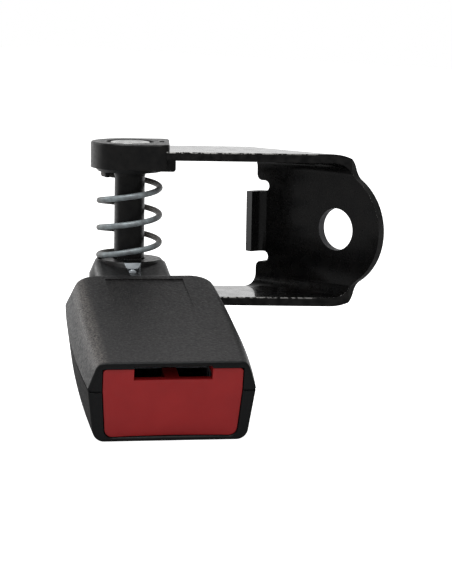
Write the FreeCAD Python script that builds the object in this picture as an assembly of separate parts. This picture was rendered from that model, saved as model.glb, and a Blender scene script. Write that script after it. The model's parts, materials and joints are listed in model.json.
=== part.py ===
import FreeCAD, Part
import math
import os
from FreeCAD import Placement, Rotation, Vector

# A seat belt buckle on a swivelling stalk, held by a folded steel bracket.
# Row frame: the origin is the centre of the anchor bolt hole on the bracket's mounting face,
# +Y points out of that face, +Z runs up the swivel pin and +X towards the web's round end.
# All sizes are in millimetres and degrees.

# Clearances and small shapes that many pieces share
PRESS_GAP = 0.02
RUN_GAP = 0.05
SEAT_GAP = 0.15
FREE_GAP = 0.3
EDGE_BREAK = 0.5
BOND = 0.4

# Every spring's wire: flat sides in its section, and places per turn that guide it
WIRE_SIDES = 6
WIRE_STEPS = 8

# Bracket, one folded sheet
SHEET = 2.5
ARM_GAP = 38.5
BEND_RADIUS = 3.7
BOLT_HOLE_RADIUS = 6.0
WEB_OVERHANG = 2.6585
NOSE_RADIUS = 17.0
NOSE_OFFSET = 1.7
ARM_WIDTH = 21.2
ARM_ANGLE = 42.0
ARM_LENGTH = 51.0
ARM_START_X = -10.5
ARM_CORNER_RADIUS = 8.0
TAB_HEIGHT = 17.6
TAB_BEND_X = 25.2
TAB_BEND_RADIUS = 2.0
TAB_BEND_ANGLE = 78.0
TAB_FLAT = 2.5
NOTCH_HEIGHT = 3.1
NOTCH_DEPTH = 4.45
NOTCH_EDGE = 1.8
SHOULDER_RADIUS = 4.0

# Swivel pin, riveted over at both ends
PIN_RADIUS = 3.5
RIVET_HEAD_RADIUS = 6.05
RIVET_HEAD_HEIGHT = 1.5
RIVET_RIM = 1.4
RIVET_DISH = 0.4
RIVET_BEVEL = 0.7
RIVET_FOOT_RADIUS = 5.5
RIVET_FOOT_HEIGHT = 1.8

# Sleeve between the arms, with a tapered flange, a lug and a peg for the spring
SLEEVE_RADIUS = 4.35
FLANGE_INSET = 0.1
FLANGE_HEIGHT = 4.0
FLANGE_FILLET = 1.4
FLANGE_TAPER = 0.5
FLANGE_BEVEL = 0.9
LUG_REACH = 13.1
LUG_WIDTH = 12.0
LUG_EDGE = 0.8
PEG_RADIUS = 0.7
PEG_PLACE = 7.4
PEG_ANGLE = -150.0
PEG_DROP = 1.6

# Cap over the upper arm's eye
CAP_WALL = 0.6
CAP_TOP = 1.95
CAP_SKIRT = 5.4
CAP_CORNER = 2.5
CAP_RING_RADIUS = 8.6
CAP_RING_DEPTH = 0.4
CAP_KEY_WIDTH = 3.2
CAP_KEY_REACH = 1.2

# Thrust washer under the strap
WASHER_RADIUS = 9.0
WASHER_HEIGHT = 0.8

# Return spring round the sleeve, right-handed
COIL_MEAN_RADIUS = 8.65
COIL_WIRE_RADIUS = 0.85
COIL_PITCH = 7.85
COIL_TURNS = 2.85
COIL_START = 180.0
COIL_REST = 80.0
COIL_EASE = 0.25
COIL_LEG = 3.5
COIL_LEG_RISE = 0.5

# Collar over the strap's eye
COLLAR_TOP = 9.3
COLLAR_SHOULDER = 4.9
COLLAR_TOP_RADIUS = 9.2
COLLAR_BASE_RADIUS = 11.4
COLLAR_GROOVE_TOP = 6.4
COLLAR_GROOVE_BOTTOM = 2.6
COLLAR_GROOVE_DEPTH = 3.0
COLLAR_GROOVE_REACH = 2.2
BUSH_FLANGE_RADIUS = 7.4
BUSH_TUBE_RADIUS = 5.0
BUSH_SETBACK = 0.8

# Pose of the buckle on its pin at rest
HEADING = -40.4
DROOP = 12.1
TOP_HEIGHT = 15.35

# Strap between the pin and the frame, with its plastic neck
STRAP_WIDTH = 18.0
STRAP_THICKNESS = 2.5
STRAP_TOP = 7.0
STRAP_END = 49.5
STRAP_EYE_TOP = 6.2
STRAP_BEND = 4.0
NECK_REAR = 5.0
NECK_HALF_WIDTH = 10.3
NECK_WALL = 1.8
NECK_FLANGE = 1.4
NECK_EDGE = 1.5
STRAP_RIVETS = (37.5, 44.3)
STRAP_RIVET_RADIUS = 3.0
STRAP_RIVET_HEAD = 4.6
STRAP_RIVET_HEIGHT = 1.5
STRAP_RIVET_BEVEL = 0.8

# Housing: how far it stands out past the steel frame at the rear, the middle and the front
HOUSE_REAR = 29.6
HOUSE_LENGTH = 65.0
HOUSE_HEIGHT = 21.1
PARTING_DEPTH = 7.0
TOP_MARGINS = (4.8, 6.0, 5.6)
PARTING_MARGINS = (7.7, 9.5, 7.9)
BOTTOM_MARGINS = (6.0, 7.2, 6.2)
REAR_CORNER = 6.5
SHELL_WALL = 1.8
RIM_DEPTH = 2.6
LIP = 1.2
TOP_EDGE = 2.6
LIP_EDGE = 0.9
BOTTOM_EDGE = 3.0
GROOVE_DEPTH = 0.5
GROOVE_HEIGHT = 0.6
PANEL_REAR = 4.6
PANEL_LENGTH = 38.0
PANEL_HALVES = (10.7, 8.6)
PANEL_DEPTH = 0.35
PANEL_BREAK = 0.55
SLOT_HALF_WIDTH = 9.9
SLOT_LIP = 0.65
SLOT_FUNNEL = 6.5
RIB_WIDTH = 1.6
RIB_SETBACK = 4.0
SNAP_WIDTH = 6.0
SNAP_THICKNESS = 1.2
SNAP_DEPTH = 4.0
SNAP_ROOT = 2.5
SNAP_INSET = 0.9
SNAP_PLACES = (44.0, 62.0, 78.0)
STOP_THICKNESS = 2.0
STOP_REACH = 3.0
POST_HEIGHT = 2.2

# Red button with its two side arms: how far it stands out past the frame at its top and bottom
BUTTON_MARGINS = (4.45, 3.5)
BUTTON_BOTTOM = 19.85
BUTTON_INSET = 0.4
BUTTON_WALL = 2.2
BUTTON_DEPTH = 12.2
BUTTON_CORNER = 2.2
BUTTON_EDGE = 1.0
BUTTON_GAP = 0.25
BUTTON_TRAVEL = 5.0
SCOOP_DEPTH = 0.8
SCOOP_RADIUS = 196.0
SCOOP_CENTRE = 19.0
BUTTON_RIB_WIDTH = 3.7
BUTTON_RIB_DEPTH = 6.0
NOTCH_FLOOR = 4.45
FLEX_ARM_THICKNESS = 2.2
FLEX_ARM_TOP = 7.4
FLEX_ARM_REAR = 57.0
FLEX_ARM_ROOT = 1.0
ARM_SIDE_GAP = 0.4
ARM_PAD = 2.5
ARM_PAD_WIDTH = 4.0
ARM_PAD_BOTTOM = 12.5
ARM_SHOULDER = 1.5
RAMP_LEAD = 1.0
RAMP_TAIL = 1.2
RAMP_BACK = 2.0
RAMP_HEIGHT = 3.0

# Steel frame in the housing
FRAME_REAR = 33.6
FRAME_FRONT = 80.5
FRAME_THICKNESS = 2.5
FRAME_WALL = 2.2
FRAME_HALF_WIDTH = 13.2
FRAME_WALL_REAR = 42.0
FRAME_BOTTOM = 15.5
FRAME_BEND = 1.0
FRAME_OUTER_BEND = 2.0
FRAME_CORNER = 4.0
WINDOW_HALF_WIDTH = 7.0
WINDOW_REAR_GAP = 0.7
WINDOW_FRONT_GAP = 1.5

# Latch plate
LATCH_PIVOT_X = 54.0
LATCH_PIVOT_DEPTH = 12.2
LATCH_PIN_RADIUS = 2.0
LATCH_EYE_RADIUS = 3.6
LATCH_THICKNESS = 2.5
LATCH_TILT = 8.0
TOOTH_REAR = 71.4
TOOTH_THICKNESS = 2.6
TOOTH_HALF_WIDTH = 5.5
TOOTH_TIP = 2.4
TOOTH_RAMP = 1.9
TOOTH_FLAT = 0.9
EAR_LEVER = 12.0
EAR_RADIUS = 1.7
EAR_CLEAR = 2.6
EAR_SETBACK = 0.2

# Ejector
EJECTOR_FRONT = 69.5
EJECTOR_REAR = 62.0
EJECTOR_TOP = 2.15
EJECTOR_HALF_WIDTH = 7.0
EJECTOR_NECK = 2.75
EJECTOR_FOOT = 4.4
EJECTOR_FOOT_HEIGHT = 1.0
EJECTOR_CORNER = 1.0
EJECTOR_OVERHANG = 1.5
EJECTOR_TRAVEL = 7.0
EJECTOR_SPRING_BLOCK = 4.0

# Small coil springs: mean radius, wire radius and turns
EJECTOR_SPRING = (1.9, 0.3, 4)
BUTTON_SPRING = (1.75, 0.3, 5)
LATCH_SPRING = (2.3, 0.3, 3)
BUTTON_SPRING_REAR = 41.0
BUTTON_SPRING_DEPTH = 10.2
BUTTON_SPRING_GAP = 0.1
LATCH_SPRING_X = 62.5

# Places that follow from the sizes above
ARM_RAD = math.radians(ARM_ANGLE)
DROOP_RAD = math.radians(DROOP)
TILT_RAD = math.radians(LATCH_TILT)
PIN_X = ARM_START_X - ARM_LENGTH * math.cos(ARM_RAD)
PIN_Y = -SHEET - ARM_LENGTH * math.sin(ARM_RAD)
ARM_EDGE_X = PIN_X - (PIN_Y + SHEET) / math.tan(ARM_RAD) - ARM_WIDTH / 2 / math.sin(ARM_RAD)
WEB_LEFT = WEB_OVERHANG - ARM_EDGE_X
HALF_GAP = ARM_GAP / 2
OUTER_HALF = HALF_GAP + SHEET
ARM_TOP = ARM_GAP + SHEET
TOP_HALVES = tuple(FRAME_HALF_WIDTH + margin for margin in TOP_MARGINS)
PARTING_HALVES = tuple(FRAME_HALF_WIDTH + margin for margin in PARTING_MARGINS)
BOTTOM_HALVES = tuple(FRAME_HALF_WIDTH + margin for margin in BOTTOM_MARGINS)
BUTTON_HALVES = tuple(FRAME_HALF_WIDTH + margin for margin in BUTTON_MARGINS)
HOUSE_FRONT = HOUSE_REAR + HOUSE_LENGTH
BUTTON_FRONT = HOUSE_FRONT - BUTTON_INSET
BUTTON_REAR = BUTTON_FRONT - BUTTON_DEPTH
BUTTON_TOP = LIP + BUTTON_GAP
SLEEVE_BOTTOM = COLLAR_TOP + FREE_GAP
FLANGE_BOTTOM = ARM_GAP - FLANGE_HEIGHT
FLANGE_RADIUS = ARM_WIDTH / 2 - FLANGE_INSET
PLATE_TOP = STRAP_TOP - FRAME_THICKNESS
STRAP_LOW = STRAP_TOP + STRAP_THICKNESS
NECK_TOP = STRAP_TOP - NECK_WALL
NECK_LOW = STRAP_LOW + NECK_WALL
FLOOR_LEVEL = SHELL_WALL - HOUSE_HEIGHT
TOOTH_FRONT = TOOTH_REAR + TOOTH_THICKNESS
FRAME_INNER = FRAME_HALF_WIDTH - FRAME_WALL
RIB_INNER = FRAME_HALF_WIDTH - RIB_WIDTH
RIB_FRONT = FRAME_FRONT - RIB_SETBACK
LATCH_HALF_WIDTH = FRAME_INNER - FREE_GAP
FLEX_ARM_INNER = FRAME_HALF_WIDTH + ARM_SIDE_GAP
FLEX_ARM_OUTER = FLEX_ARM_INNER + FLEX_ARM_THICKNESS
GUIDE_HALF_WIDTH = EJECTOR_NECK + FREE_GAP
GUIDE_REAR = EJECTOR_REAR - EJECTOR_TRAVEL - EJECTOR_SPRING_BLOCK
EAR_X = LATCH_PIVOT_X + EAR_LEVER

# How far a cutting block runs past what it cuts, and a length that clears the whole part
PAST = SHEET / 2
FAR = 2 * ARM_LENGTH

X_AXIS = Vector(1, 0, 0)
Y_AXIS = Vector(0, 1, 0)
Z_AXIS = Vector(0, 0, 1)


def same(a, b):
    """Two lengths that differ by less than a hundredth of a millimetre."""
    return abs(a - b) < 0.01


def box(x0, x1, y0, y1, z0, z1):
    return Part.makeBox(x1 - x0, y1 - y0, z1 - z0, Vector(x0, y0, z0))


def rod(radius, start, end):
    """A round bar between two points."""
    way = end - start
    return Part.makeCylinder(radius, way.Length, start, way)


def cross_rod(radius, x, depth, reach):
    """A round bar across the buckle, centred on its middle plane."""
    return rod(radius, Vector(x, -reach, -depth), Vector(x, reach, -depth))


def lines(points):
    """Straight edges from each point to the next."""
    return [Part.LineSegment(a, b).toShape() for a, b in zip(points[:-1], points[1:])]


def wire_of(points):
    return Part.makePolygon([Vector(*p) for p in points + points[:1]])


def prism(points, way):
    """A straight-edged outline pushed along a vector."""
    return Part.Face(wire_of(points)).extrude(way)


def side_prism(points, y0, y1):
    """An outline of (forward, up) pushed across the buckle from one Y to another."""
    return prism([(x, y0, z) for x, z in points], Vector(0, y1 - y0, 0))


def mirrored(shape):
    """A solid and its copy on the other side of the buckle's middle plane."""
    return Part.makeCompound([shape, shape.mirror(Vector(0, 0, 0), Y_AXIS)])


def revolved(points):
    """A closed outline of (radius, height) turned about the Z axis."""
    face = Part.Face(wire_of([(r, 0, z) for r, z in points]))
    return face.revolve(Vector(0, 0, 0), Z_AXIS, 360)


def along(shape, axis):
    """The straight edges that run along an axis."""
    return [e for e in shape.Edges if same(abs(e.tangentAt(e.FirstParameter).dot(axis)), 1)]


def whole(shape):
    """The single clean solid of a result."""
    result = shape.removeSplitter()
    if len(result.Solids) == 1:
        return result.Solids[0]
    return result


def coil(mean_radius, wire_radius, turns, length):
    """A wire wound right-handed about Z, between Z = 0 and its length."""
    steps = WIRE_STEPS * turns
    rise = length - 2 * wire_radius
    points = []
    for i in range(steps + 1):
        angle = 2 * math.pi * turns * i / steps
        level = wire_radius + rise * i / steps
        points.append(Vector(mean_radius * math.cos(angle), mean_radius * math.sin(angle), level))
    return swept_wire(points, wire_radius)


def swept_wire(points, wire_radius):
    """A wire along a smooth curve through points, with a few flat sides in place of a round."""
    path = Part.BSplineCurve()
    path.interpolate(points)
    spine = Part.Wire([path.toShape()])
    first = path.tangent(path.FirstParameter)[0]
    ring = Part.Circle(points[0], first, wire_radius)
    corners = [ring.value(2 * math.pi * i / WIRE_SIDES) for i in range(WIRE_SIDES)]
    pipe = Part.BRepOffsetAPI.MakePipeShell(spine)
    pipe.setFrenetMode(False)
    pipe.add(Part.makePolygon(corners + corners[:1]), False, False)
    pipe.build()
    pipe.makeSolid()
    return pipe.shape()


# Placing the pin's frame and the housing's frame in the row frame

def moved(shape, place):
    result = shape.copy()
    result.Placement = place.multiply(result.Placement)
    return result


def on_pin(shape, heading=ARM_ANGLE):
    """From the pin's own frame, with Z = 0 on the lower arm, to the row frame."""
    return moved(shape, Placement(Vector(PIN_X, PIN_Y, -HALF_GAP), Rotation(Z_AXIS, heading)))


def droop_place():
    """From the housing's frame, X forward and Z = 0 on its top face, to the pin's."""
    return Placement(Vector(0, 0, TOP_HEIGHT), Rotation(Y_AXIS, DROOP))


def in_housing(shape):
    return on_pin(moved(shape, droop_place()), HEADING)


# Bracket

def arm_outline():
    """The folded blank seen from above: web, arm strip and round eye."""
    forward = Vector(math.cos(ARM_RAD), math.sin(ARM_RAD), 0)
    across = Vector(-math.sin(ARM_RAD), math.cos(ARM_RAD), 0)
    pin = Vector(PIN_X, PIN_Y, 0)
    half = ARM_WIDTH / 2
    left = pin + across * half
    right = pin - across * half
    corner = left + forward * ((-WEB_LEFT - left.x) / forward.x)
    flange_end = right + forward * ((-SHEET - right.y) / forward.y)
    beyond = NOSE_RADIUS + SHEET
    edges = [Part.Arc(left, pin - forward * half, right).toShape()]
    edges += lines([right, flange_end, Vector(beyond, -SHEET, 0), Vector(beyond, SHEET, 0),
                    Vector(-WEB_LEFT, SHEET, 0), corner, left])
    return Part.Wire(edges), corner, flange_end


def channel():
    """The web and both arms as a bent channel, before its outline is cut."""
    outer = box(-FAR, FAR, -FAR, 0, -OUTER_HALF, OUTER_HALF)
    outer_bends = [e for e in along(outer, X_AXIS) if same(e.CenterOfMass.y, 0)]
    inner = box(-FAR - PAST, FAR + PAST, -FAR - PAST, -SHEET, -HALF_GAP, HALF_GAP)
    inner_bends = [e for e in along(inner, X_AXIS) if same(e.CenterOfMass.y, -SHEET)]
    outer = outer.makeFillet(BEND_RADIUS + SHEET, outer_bends)
    return outer.cut(inner.makeFillet(BEND_RADIUS, inner_bends))


def tab():
    """The tongue between the two notches, folded into the channel."""
    turn = math.radians(TAB_BEND_ANGLE)
    outer = TAB_BEND_RADIUS + SHEET
    inner = TAB_BEND_RADIUS
    centre = Vector(-TAB_BEND_X, -outer, 0)

    def at(radius, angle):
        return centre + Vector(-radius * math.sin(angle), radius * math.cos(angle), 0)

    def bend(radius):
        return Part.Arc(at(radius, 0), at(radius, turn / 2), at(radius, turn)).toShape()

    flat = Vector(-math.cos(turn), -math.sin(turn), 0) * TAB_FLAT
    root = Vector(SHEET, 0, 0)
    tip = lines([at(outer, turn), at(outer, turn) + flat, at(inner, turn) + flat, at(inner, turn)])
    foot = lines([at(inner, 0), at(inner, 0) + root, at(outer, 0) + root, at(outer, 0)])
    outline = Part.Wire([bend(outer)] + tip + [bend(inner)] + foot)
    solid = Part.Face(outline).extrude(Vector(0, 0, TAB_HEIGHT))
    solid.translate(Vector(0, 0, -TAB_HEIGHT / 2))
    return solid


def notch(level):
    """A slot with a round inner end, cut in from the web's left edge."""
    half = NOTCH_HEIGHT / 2
    end = -WEB_LEFT + NOTCH_DEPTH - half
    slot = box(-FAR, end, -FAR, PAST, level - half, level + half)
    return slot.fuse(rod(half, Vector(end, -FAR, level), Vector(end, PAST, level)))


def bracket():
    outline, corner, flange_end = arm_outline()
    blank = Part.Face(outline).extrude(Vector(0, 0, 2 * FAR))
    blank.translate(Vector(0, 0, -FAR))
    uprights = along(blank, Z_AXIS)
    corners = [e for e in uprights if same(e.CenterOfMass.x, corner.x) and same(e.CenterOfMass.y, corner.y)]
    blank = blank.makeFillet(ARM_CORNER_RADIUS, corners)
    side = box(-FAR, flange_end.x, -FAR, FAR, -FAR, FAR)
    side = side.fuse(rod(NOSE_RADIUS, Vector(-NOSE_OFFSET, -FAR, 0), Vector(-NOSE_OFFSET, FAR, 0)))
    shoulders = [e for e in along(side, Y_AXIS) if abs(e.CenterOfMass.z) < NOSE_RADIUS]
    shoulders = [e for e in shoulders if same(e.CenterOfMass.x, flange_end.x)]
    side = side.makeFillet(SHOULDER_RADIUS, shoulders)
    body = channel().common(blank).common(side)
    tab_half = TAB_HEIGHT / 2
    body = body.cut(box(-WEB_LEFT - PAST, -TAB_BEND_X, -SHEET - PAST, PAST, -tab_half, tab_half))
    body = body.fuse(tab())
    level = tab_half + NOTCH_HEIGHT / 2
    body = body.cut(notch(level)).cut(notch(-level)).removeSplitter()
    mouths = [e for e in along(body, Y_AXIS) if same(abs(e.CenterOfMass.z), tab_half + NOTCH_HEIGHT)]
    body = body.makeFillet(NOTCH_EDGE, [e for e in mouths if same(e.CenterOfMass.x, -WEB_LEFT)])
    body = body.cut(rod(BOLT_HOLE_RADIUS, Vector(0, -FAR, 0), Vector(0, PAST, 0)))
    body = body.cut(rod(PIN_RADIUS + PRESS_GAP, Vector(PIN_X, PIN_Y, -FAR), Vector(PIN_X, PIN_Y, FAR)))
    return whole(body)


# Pieces on the swivel pin, in the pin's frame

def pivot_rivet():
    """A stepped steel pin with a dished head on the upper arm and an upset foot under the lower one."""
    low = -SHEET
    crown = ARM_TOP + RIVET_HEAD_HEIGHT
    foot = low - RIVET_FOOT_HEIGHT
    rim = RIVET_HEAD_RADIUS - RIVET_BEVEL
    dish = rim - RIVET_RIM
    floor = crown - RIVET_DISH
    return revolved([(0, foot), (RIVET_FOOT_RADIUS - RIVET_BEVEL, foot),
                     (RIVET_FOOT_RADIUS, foot + RIVET_BEVEL),
                     (RIVET_FOOT_RADIUS, low), (PIN_RADIUS, low), (PIN_RADIUS, ARM_TOP),
                     (RIVET_HEAD_RADIUS, ARM_TOP), (RIVET_HEAD_RADIUS, crown - RIVET_BEVEL), (rim, crown),
                     (dish, crown), (dish - RIVET_DISH, floor), (0, floor)])


def pivot_cap():
    """A moulded cap over the upper arm's eye, round behind and squared off where the arm leaves."""
    inner = ARM_WIDTH / 2 + RUN_GAP
    outer = inner + CAP_WALL
    top = ARM_TOP + CAP_TOP
    low = ARM_TOP - CAP_SKIRT
    end = box(0, outer, -outer, outer, low, top)
    end = end.makeFillet(CAP_CORNER, [e for e in along(end, Z_AXIS) if same(e.CenterOfMass.x, outer)])
    cap = rod(outer, Vector(0, 0, low), Vector(0, 0, top)).fuse(end).removeSplitter()
    cap = cap.makeFillet(EDGE_BREAK, face_rim(cap, top))
    eye = rod(inner, Vector(0, 0, low - PAST), Vector(0, 0, ARM_TOP))
    cap = cap.cut(eye.fuse(box(0, FAR, -inner, inner, low - PAST, ARM_TOP)))
    return whole(cap.cut(cap_recess(top)))


def cap_recess(top):
    """The opening round the rivet's head, with its sunk ring and one key slot."""
    hole = RIVET_HEAD_RADIUS + FREE_GAP
    ring = top - CAP_RING_DEPTH
    groove = ring - CAP_RING_DEPTH
    bowl = revolved([(0, ARM_TOP - PAST), (hole, ARM_TOP - PAST), (hole, groove),
                     (hole + CAP_RING_DEPTH, ring),
                     (CAP_RING_RADIUS - CAP_RING_DEPTH, ring), (CAP_RING_RADIUS, top),
                     (CAP_RING_RADIUS, top + PAST), (0, top + PAST)])
    key_half = CAP_KEY_WIDTH / 2
    key = box(0, CAP_RING_RADIUS + CAP_KEY_REACH, -key_half, key_half, groove, top + PAST)
    return bowl.fuse(key)


def spacer_bush():
    """The sleeve that keeps the arms apart, with a tapered flange under the upper arm."""
    bore = PIN_RADIUS + RUN_GAP
    top = ARM_GAP - PRESS_GAP
    low = FLANGE_BOTTOM
    hollow = FLANGE_FILLET * (1 - math.sqrt(0.5))
    rim = FLANGE_RADIUS - FLANGE_TAPER
    bush = revolved([(bore, SLEEVE_BOTTOM), (SLEEVE_RADIUS, SLEEVE_BOTTOM),
                     (SLEEVE_RADIUS, low - FLANGE_FILLET),
                     (SLEEVE_RADIUS + hollow, low - hollow), (SLEEVE_RADIUS + FLANGE_FILLET, low),
                     (rim - FLANGE_BEVEL, low), (rim, low + FLANGE_BEVEL),
                     (FLANGE_RADIUS, top - FLANGE_BEVEL), (FLANGE_RADIUS, top), (bore, top)])
    lug = box(SLEEVE_RADIUS + FLANGE_FILLET, LUG_REACH, -LUG_WIDTH / 2, LUG_WIDTH / 2, low + BOND, top)
    lug = lug.makeFillet(LUG_EDGE, [e for e in lug.Edges if same(e.CenterOfMass.x, LUG_REACH)])
    return whole(bush.fuse([lug, spring_peg(low)]))


def spring_peg(low):
    """A small peg under the flange that the spring's leg bears on."""
    angle = math.radians(PEG_ANGLE)
    foot = Vector(PEG_PLACE * math.cos(angle), PEG_PLACE * math.sin(angle), low - PEG_DROP)
    return rod(PEG_RADIUS, foot, foot + Z_AXIS * (PEG_DROP + FLANGE_BEVEL))


def on_coil(angle, level):
    return Vector(COIL_MEAN_RADIUS * math.cos(angle), COIL_MEAN_RADIUS * math.sin(angle), level)


def return_spring():
    """The torsion spring: one flat turn on the collar, the open coils, and a leg under the flange."""
    low = COLLAR_TOP + COIL_WIRE_RADIUS + RUN_GAP
    start = math.radians(COIL_START)
    rest = math.radians(COIL_REST)
    rest_steps = 2
    points = [on_coil(start - rest * (1 - i / rest_steps), low) for i in range(rest_steps)]
    steps = int(COIL_TURNS * WIRE_STEPS)
    for i in range(steps + 1):
        turn = COIL_TURNS * i / steps
        climb = (1 + min(turn / COIL_EASE, 1.0)) / 2
        points.append(on_coil(start + 2 * math.pi * turn, low + COIL_PITCH * turn * climb))
    end = start + 2 * math.pi * COIL_TURNS
    leg = Vector(-math.sin(end), math.cos(end), 0) * COIL_LEG
    points.append(points[-1] + leg + Z_AXIS * COIL_LEG_RISE)
    return swept_wire(points, COIL_WIRE_RADIUS)


def thrust_washer():
    bore = PIN_RADIUS + RUN_GAP
    return revolved([(bore, 0), (WASHER_RADIUS, 0), (WASHER_RADIUS, WASHER_HEIGHT), (bore, WASHER_HEIGHT)])


def pivot_bush():
    """A flanged steel bush, pressed into the strap's eye and turning on the pin."""
    bore = PIN_RADIUS + RUN_GAP
    low = WASHER_HEIGHT + RUN_GAP
    tube = BUSH_TUBE_RADIUS - PRESS_GAP
    top = COLLAR_TOP - BUSH_SETBACK
    return revolved([(bore, low), (tube, low), (tube, STRAP_EYE_TOP), (BUSH_FLANGE_RADIUS, STRAP_EYE_TOP),
                     (BUSH_FLANGE_RADIUS, top - EDGE_BREAK), (BUSH_FLANGE_RADIUS - EDGE_BREAK, top),
                     (bore, top)])


# Strap, collar and rivets, in the pin's frame turned to the buckle's heading

def slope_point(x, depth):
    """A place in the housing's middle plane, as (forward, up) in the pin's frame."""
    forward = x * math.cos(DROOP_RAD) - depth * math.sin(DROOP_RAD)
    return (forward, TOP_HEIGHT - x * math.sin(DROOP_RAD) - depth * math.cos(DROOP_RAD))


def bend_point(depth, level):
    """Where a face of the sloping strap meets the same face of its flat eye."""
    start = slope_point(0, depth)
    return (start[0] + (start[1] - level) / math.tan(DROOP_RAD), level)


def anchor_strap():
    """Flat steel strap: a round eye on the pin, one bend, then straight into the housing."""
    half = STRAP_WIDTH / 2
    eye_low = STRAP_EYE_TOP - STRAP_THICKNESS
    strap = side_prism([(-half, STRAP_EYE_TOP), bend_point(STRAP_TOP, STRAP_EYE_TOP),
                        slope_point(STRAP_END, STRAP_TOP), slope_point(STRAP_END, STRAP_LOW),
                        bend_point(STRAP_LOW, eye_low), (-half, eye_low)], -half, half)
    bends = [e for e in along(strap, Y_AXIS) if 0 < e.CenterOfMass.x < STRAP_END / 2]
    strap = strap.makeFillet(STRAP_BEND, bends)
    eye = rod(half, Vector(0, 0, -FAR), Vector(0, 0, FAR))
    strap = strap.common(eye.fuse(box(0, FAR, -half, half, -FAR, FAR)))
    strap = strap.cut(rod(BUSH_TUBE_RADIUS, Vector(0, 0, 0), Vector(0, 0, COLLAR_TOP)))
    for x in STRAP_RIVETS:
        strap = strap.cut(moved(rivet_hole(x), droop_place()))
    return whole(strap)


def rivet_hole(x):
    """The hole for one strap rivet, in the housing's frame."""
    return rod(STRAP_RIVET_RADIUS + PRESS_GAP, Vector(x, 0, -STRAP_LOW - PAST),
               Vector(x, 0, -PLATE_TOP + PAST))


def neck():
    """The sleeve round the strap, with a flange that the housing's rear wall traps."""
    half = NECK_HALF_WIDTH
    rear = HOUSE_REAR + SHELL_WALL + RUN_GAP
    front = rear + NECK_FLANGE
    tube = box(NECK_REAR, front, -half, half, -NECK_LOW, -NECK_TOP)
    tube = tube.makeFillet(NECK_EDGE, along(tube, X_AXIS))
    flange = box(rear, front, -half - NECK_FLANGE, half + NECK_FLANGE,
                 -NECK_LOW - NECK_FLANGE, -NECK_TOP + NECK_FLANGE)
    return moved(tube.fuse(flange), droop_place())


def collar_groove():
    """The dovetail-like window in the collar's front that shows the bush."""
    back = COLLAR_TOP_RADIUS - COLLAR_GROOVE_REACH
    wide = COLLAR_GROOVE_TOP / 2
    narrow = COLLAR_GROOVE_BOTTOM / 2
    low = COLLAR_TOP - COLLAR_GROOVE_DEPTH
    high = COLLAR_TOP + PAST
    outline = [(back, -wide, high), (back, wide, high), (back, narrow, low), (back, -narrow, low)]
    return prism(outline, Vector(COLLAR_BASE_RADIUS, 0, 0))


def neck_collar(strap, bush):
    """Plastic collar over the strap's eye and the neck that covers the strap as far as the housing."""
    low = WASHER_HEIGHT + FREE_GAP
    cover_bore = SLEEVE_RADIUS + FREE_GAP
    cover_low = COLLAR_TOP - BUSH_SETBACK + RUN_GAP
    collar = revolved([(BUSH_FLANGE_RADIUS, low), (COLLAR_BASE_RADIUS - EDGE_BREAK, low),
                       (COLLAR_BASE_RADIUS, low + EDGE_BREAK), (COLLAR_BASE_RADIUS, COLLAR_SHOULDER),
                       (COLLAR_TOP_RADIUS + EDGE_BREAK, COLLAR_TOP - EDGE_BREAK),
                       (COLLAR_TOP_RADIUS, COLLAR_TOP), (cover_bore, COLLAR_TOP), (cover_bore, cover_low),
                       (BUSH_FLANGE_RADIUS, cover_low)])
    bore = rod(BUSH_FLANGE_RADIUS, Vector(0, 0, -FAR), Vector(0, 0, FAR))
    below = rod(COLLAR_BASE_RADIUS + PAST, Vector(0, 0, -FAR), Vector(0, 0, low))
    body = collar.fuse(neck().cut(bore)).cut(below)
    return whole(body.cut(collar_groove()).cut(strap).cut(bush))


def strap_rivets():
    """Two rivets that join the strap to the frame, in the housing's frame."""
    face = STRAP_RIVET_HEAD - STRAP_RIVET_BEVEL
    low = -STRAP_LOW
    high = -PLATE_TOP
    rivets = []
    for x in STRAP_RIVETS:
        rivet = revolved([(0, low - STRAP_RIVET_HEIGHT), (face, low - STRAP_RIVET_HEIGHT),
                          (STRAP_RIVET_HEAD, low), (STRAP_RIVET_RADIUS, low), (STRAP_RIVET_RADIUS, high),
                          (STRAP_RIVET_HEAD, high), (face, high + STRAP_RIVET_HEIGHT),
                          (0, high + STRAP_RIVET_HEIGHT)])
        rivet.translate(Vector(x, 0, 0))
        rivets.append(rivet)
    return Part.makeCompound(rivets)


# Housing shells, in the housing's frame

def plan_wire(halves, x_rear, x_front, level, inset):
    """The housing's outline at one level: straight ends and gently bowed sides."""
    rear, middle, front = (h - inset for h in halves)
    x_mid = (HOUSE_REAR + HOUSE_FRONT) / 2
    corners = [Vector(x_rear, -rear, level), Vector(x_front, -front, level),
               Vector(x_front, front, level), Vector(x_rear, rear, level)]
    return Part.Wire([Part.Arc(corners[0], Vector(x_mid, -middle, level), corners[1]).toShape(),
                      Part.LineSegment(corners[1], corners[2]).toShape(),
                      Part.Arc(corners[2], Vector(x_mid, middle, level), corners[3]).toShape(),
                      Part.LineSegment(corners[3], corners[0]).toShape()])


def shell_form(halves, depth, x_rear, x_front, inset):
    """A drafted block between the parting line and one closed face, with round rear corners."""
    form = Part.makeLoft([plan_wire(PARTING_HALVES, x_rear, x_front, -PARTING_DEPTH, inset),
                          plan_wire(halves, x_rear, x_front, -depth, inset)], True, True)
    rear = [e for e in form.Edges if is_upright(e) and e.CenterOfMass.x < x_rear + PAST]
    return form.makeFillet(REAR_CORNER - inset, rear)


def outer_form(halves, depth):
    return shell_form(halves, depth, HOUSE_REAR, HOUSE_FRONT, 0.0)


def cavity_form(halves, depth):
    return shell_form(halves, depth, HOUSE_REAR + SHELL_WALL, HOUSE_FRONT - RIM_DEPTH, SHELL_WALL)


def is_upright(edge):
    ends = [v.Point for v in edge.Vertexes]
    return len(ends) == 2 and abs(ends[0].z - ends[1].z) > SHELL_WALL


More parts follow.
